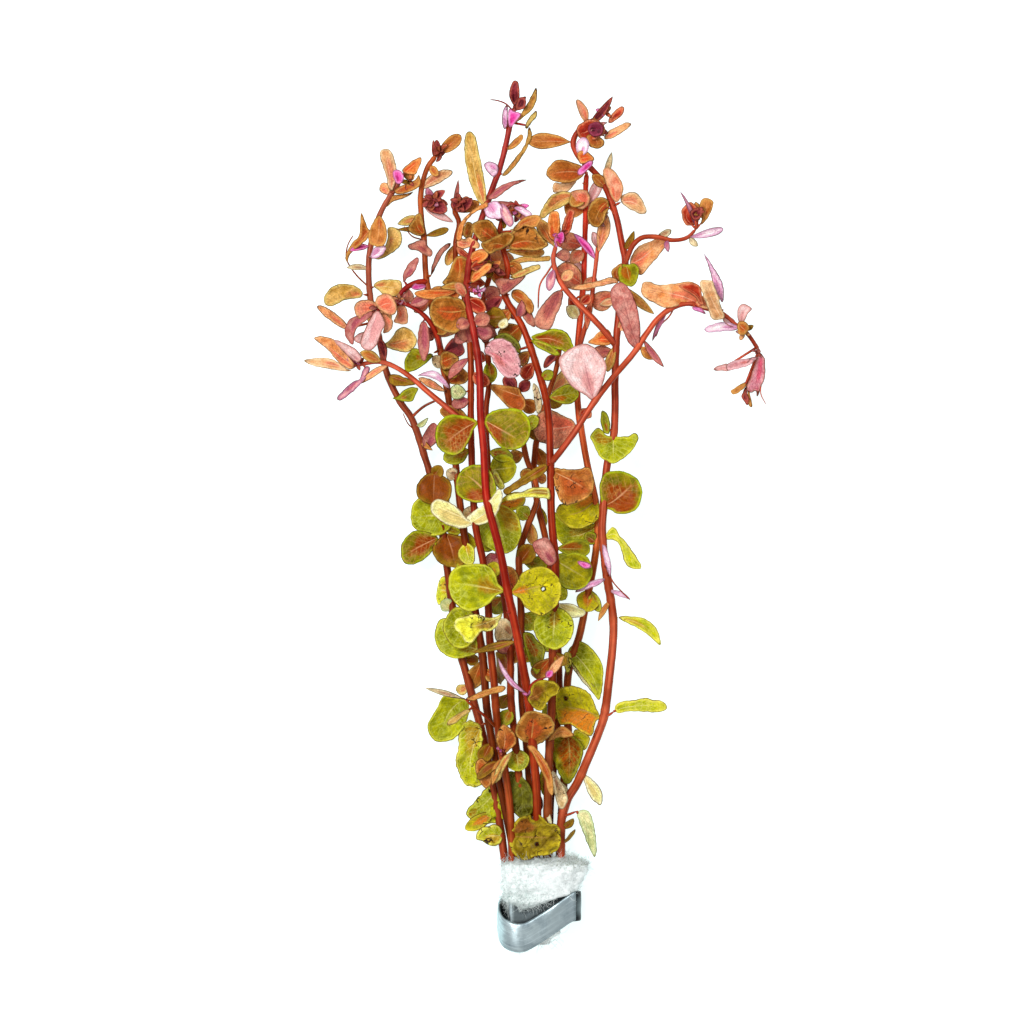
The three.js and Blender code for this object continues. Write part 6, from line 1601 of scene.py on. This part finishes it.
def buildFloss():
    f = flossShape
    part = newPart()
    top, waist = [at(f[column], f["topRow"], f["topHeight"]) for column in ("topColumn", "waistColumn")]
    foot = at(f["footColumn"], f["footRow"], f["footHeight"])

    def wadPoint(share, angle):
        # the full wad ends in a ragged lip that hangs over the inner run, lowest left of its middle
        lip = f["lip"] + f["lipSag"] * abs(math.cos(angle) + 0.4) ** 1.1
        spread = smoothStep(share, lip - 0.06, lip + 0.04)
        fan = smoothStep(share, *f["fan"])
        centre = foot.lerp(waist.lerp(top, fan), spread)
        width = mixNumbers(f["waist"], f["width"], fan)
        rounded = 1 - 0.35 * smoothStep(1 - share, 0.85, 1.0) - 0.35 * smoothStep(share, 0.93, 1)
        x = math.cos(angle) * rounded * mixNumbers(f["footWidth"], width, spread) / 2
        z = math.sin(angle) * rounded * mixNumbers(f["footDepth"], f["depth"], spread) / 2
        y = mixNumbers(foot.y, top.y, share)
        lump = f["lumpMm"] * noise.noise(Vector((x * 0.35, y * 0.45, z * 0.5)))
        lump += 0.4 * f["lumpMm"] * noise.noise(Vector((x, y * 1.2, z * 1.2)))
        x, z = x + lump * math.cos(angle), z + lump * math.sin(angle)
        tuft = f["tuftMm"] * noise.noise(Vector((angle * 2, 3, share))) if share > 0.9 else 0
        return Vector((centre.x + x, y + tuft * smoothStep(share, 0.9, 1), max(centre.z + z, f["lowest"])))

    # grit caught in the top edge, most of it on the right; painted shade along the top edge, across the low
    # part and over the left side, most of it low on the left where the strip pinches
    def marksAt(place):
        column = place.x / mmPerPixel + photoFrame["middleColumn"]
        row = photoFrame["middleRow"] - place.y / mmPerPixel
        rim = 1 - smoothStep(row, *f["rimRows"])
        left = 1 - smoothStep(column, *f["leftColumns"])
        low = smoothStep(row, *f["lowRows"])
        return {"flush": rim * mixNumbers(0.3, 0.9, smoothStep(column, *f["gritColumns"])),
                "scorch": clamp(0.25 * rim + low * mixNumbers(0.15, 0.7, left) + 0.25 * left)}

    rings = []
    for i in range(f["rings"] + 1):
        share = i / f["rings"]
        ring = [(j / f["sides"], wadPoint(share, 2 * math.pi * j / f["sides"])) for j in range(f["sides"])]
        rings.append([addPoint(part, place, (turn, share), **marksAt(place)) for turn, place in ring])
    joinRings(part, rings, "floss")
    b = fibreShape
    chance = random.Random(b["seed"])
    for index in range(b["count"]):
        share = chance.choice((chance.uniform(0.45, 1), chance.uniform(0.93, 1), chance.uniform(0.4, 0.52)))
        start = wadPoint(share, chance.uniform(0, 2 * math.pi))
        way = Vector((chance.gauss(0, 1), chance.gauss(0.4 if share > 0.9 else 0, 0.8), chance.gauss(0, 0.6)))
        addFibre(part, start, way.normalized(), chance.uniform(*b["length"]), chance, marksAt(start))
    for index in range(b["spilled"]):
        start = at(chance.uniform(*b["spilledColumns"]), chance.uniform(*b["spilledRows"]),
                   chance.uniform(1, 4))
        way = Vector((chance.gauss(0, 1), -0.3, 0)).normalized()
        # spilled fibres lie in painted shade
        addFibre(part, start, way, chance.uniform(*b["spilledLength"]), chance, {"scorch": 0.8})
    piece = makePiece(part, "floss_wad", "floss_wrap", {"floss": filterFloss()})


# A fibre is a thin hair that wanders as it goes.
def addFibre(part, start, way, length, chance, marks):
    b = fibreShape
    steps, sides = b["steps"], b["sides"]
    place = start.copy()
    rings = []
    for step in range(steps + 1):
        side = way.cross(Vector((0.3, 0.2, 1))).normalized()
        up = side.cross(way).normalized()
        size = b["widthMm"] * (1 - 0.6 * step / steps)
        ring = []
        for corner in range(sides):
            angle = 2 * math.pi * corner / sides
            point = place + (side * math.cos(angle) + up * math.sin(angle)) * size
            point.z = max(point.z, stalkShape["lowest"])
            ring.append(addPoint(part, point, (corner / sides, step / steps), **marks))
        rings.append(ring)
        way += Vector((chance.gauss(0, 0.35), chance.gauss(0, 0.35), chance.gauss(0, 0.3)))
        way.normalize()
        place = place + way * (length / steps)
    joinRings(part, rings, "floss")


buildFloss()
print("floss packed")

# A pale floor of matte paper in an even, bright studio, with one soft lamp at the upper left.
studio = {"floor": "#b4c6c6", "glow": "#eefafa", "floorGlow": 0.86, "floorSide": 3.0, "world": "#fafcfc",
          "worldStrength": 0.72, "lampWatts": 7.5, "lampSize": 0.3, "lampPlace": (-0.35, 0.25, 0.9)}


def buildStudio():
    s = studio
    material, tree = newMaterial("whitePaper")
    skin = addNode(tree, "BsdfPrincipled", {"Base Color": s["floor"], "Roughness": 0.9,
                                            "Emission Color": s["glow"], "Emission Strength": s["floorGlow"]})
    addNode(tree, "OutputMaterial", {"Surface": skin})
    half = s["floorSide"] / 2
    mesh = bpy.data.meshes.new("floor")
    corners = [(-half, -half, 0), (half, -half, 0), (half, half, 0), (-half, half, 0)]
    mesh.from_pydata(corners, [], [(0, 1, 2, 3)])
    mesh.materials.append(material)
    floor = bpy.data.objects.new("floor", mesh)
    bpy.context.scene.collection.objects.link(floor)
    world = bpy.data.worlds.new("studio")
    world.use_nodes = True
    background = world.node_tree.nodes["Background"]
    background.inputs[0].default_value = linearColour(s["world"])
    background.inputs[1].default_value = s["worldStrength"]
    bpy.context.scene.world = world
    light = bpy.data.lights.new("softLamp", "AREA")
    light.energy, light.size = s["lampWatts"], s["lampSize"]
    lamp = bpy.data.objects.new("softLamp", light)
    lamp.location = s["lampPlace"]
    lamp.rotation_euler = (-Vector(s["lampPlace"])).to_track_quat("-Z", "Y").to_euler()
    bpy.context.scene.collection.objects.link(lamp)


buildStudio()

# The photograph was taken straight down, from about a metre away.
camera = {"lens": 135, "sensor": 36, "focusHeight": 14, "farthest": 10}


def buildCamera():
    c = camera
    data = bpy.data.cameras.new("camera")
    data.lens, data.sensor_width = c["lens"], c["sensor"]
    data.clip_end = c["farthest"]
    view = bpy.data.objects.new("camera", data)
    span = photoFrame["pictureSide"] * mmPerPixel
    centre = photoFrame["pictureCentre"]
    view.location = at(centre, centre, c["focusHeight"] + span * c["lens"] / c["sensor"]) * metresPerMm
    bpy.context.scene.collection.objects.link(view)
    bpy.context.scene.camera = view


buildCamera()
bpy.context.scene.view_settings.view_transform = "Standard"
print("studio lit")
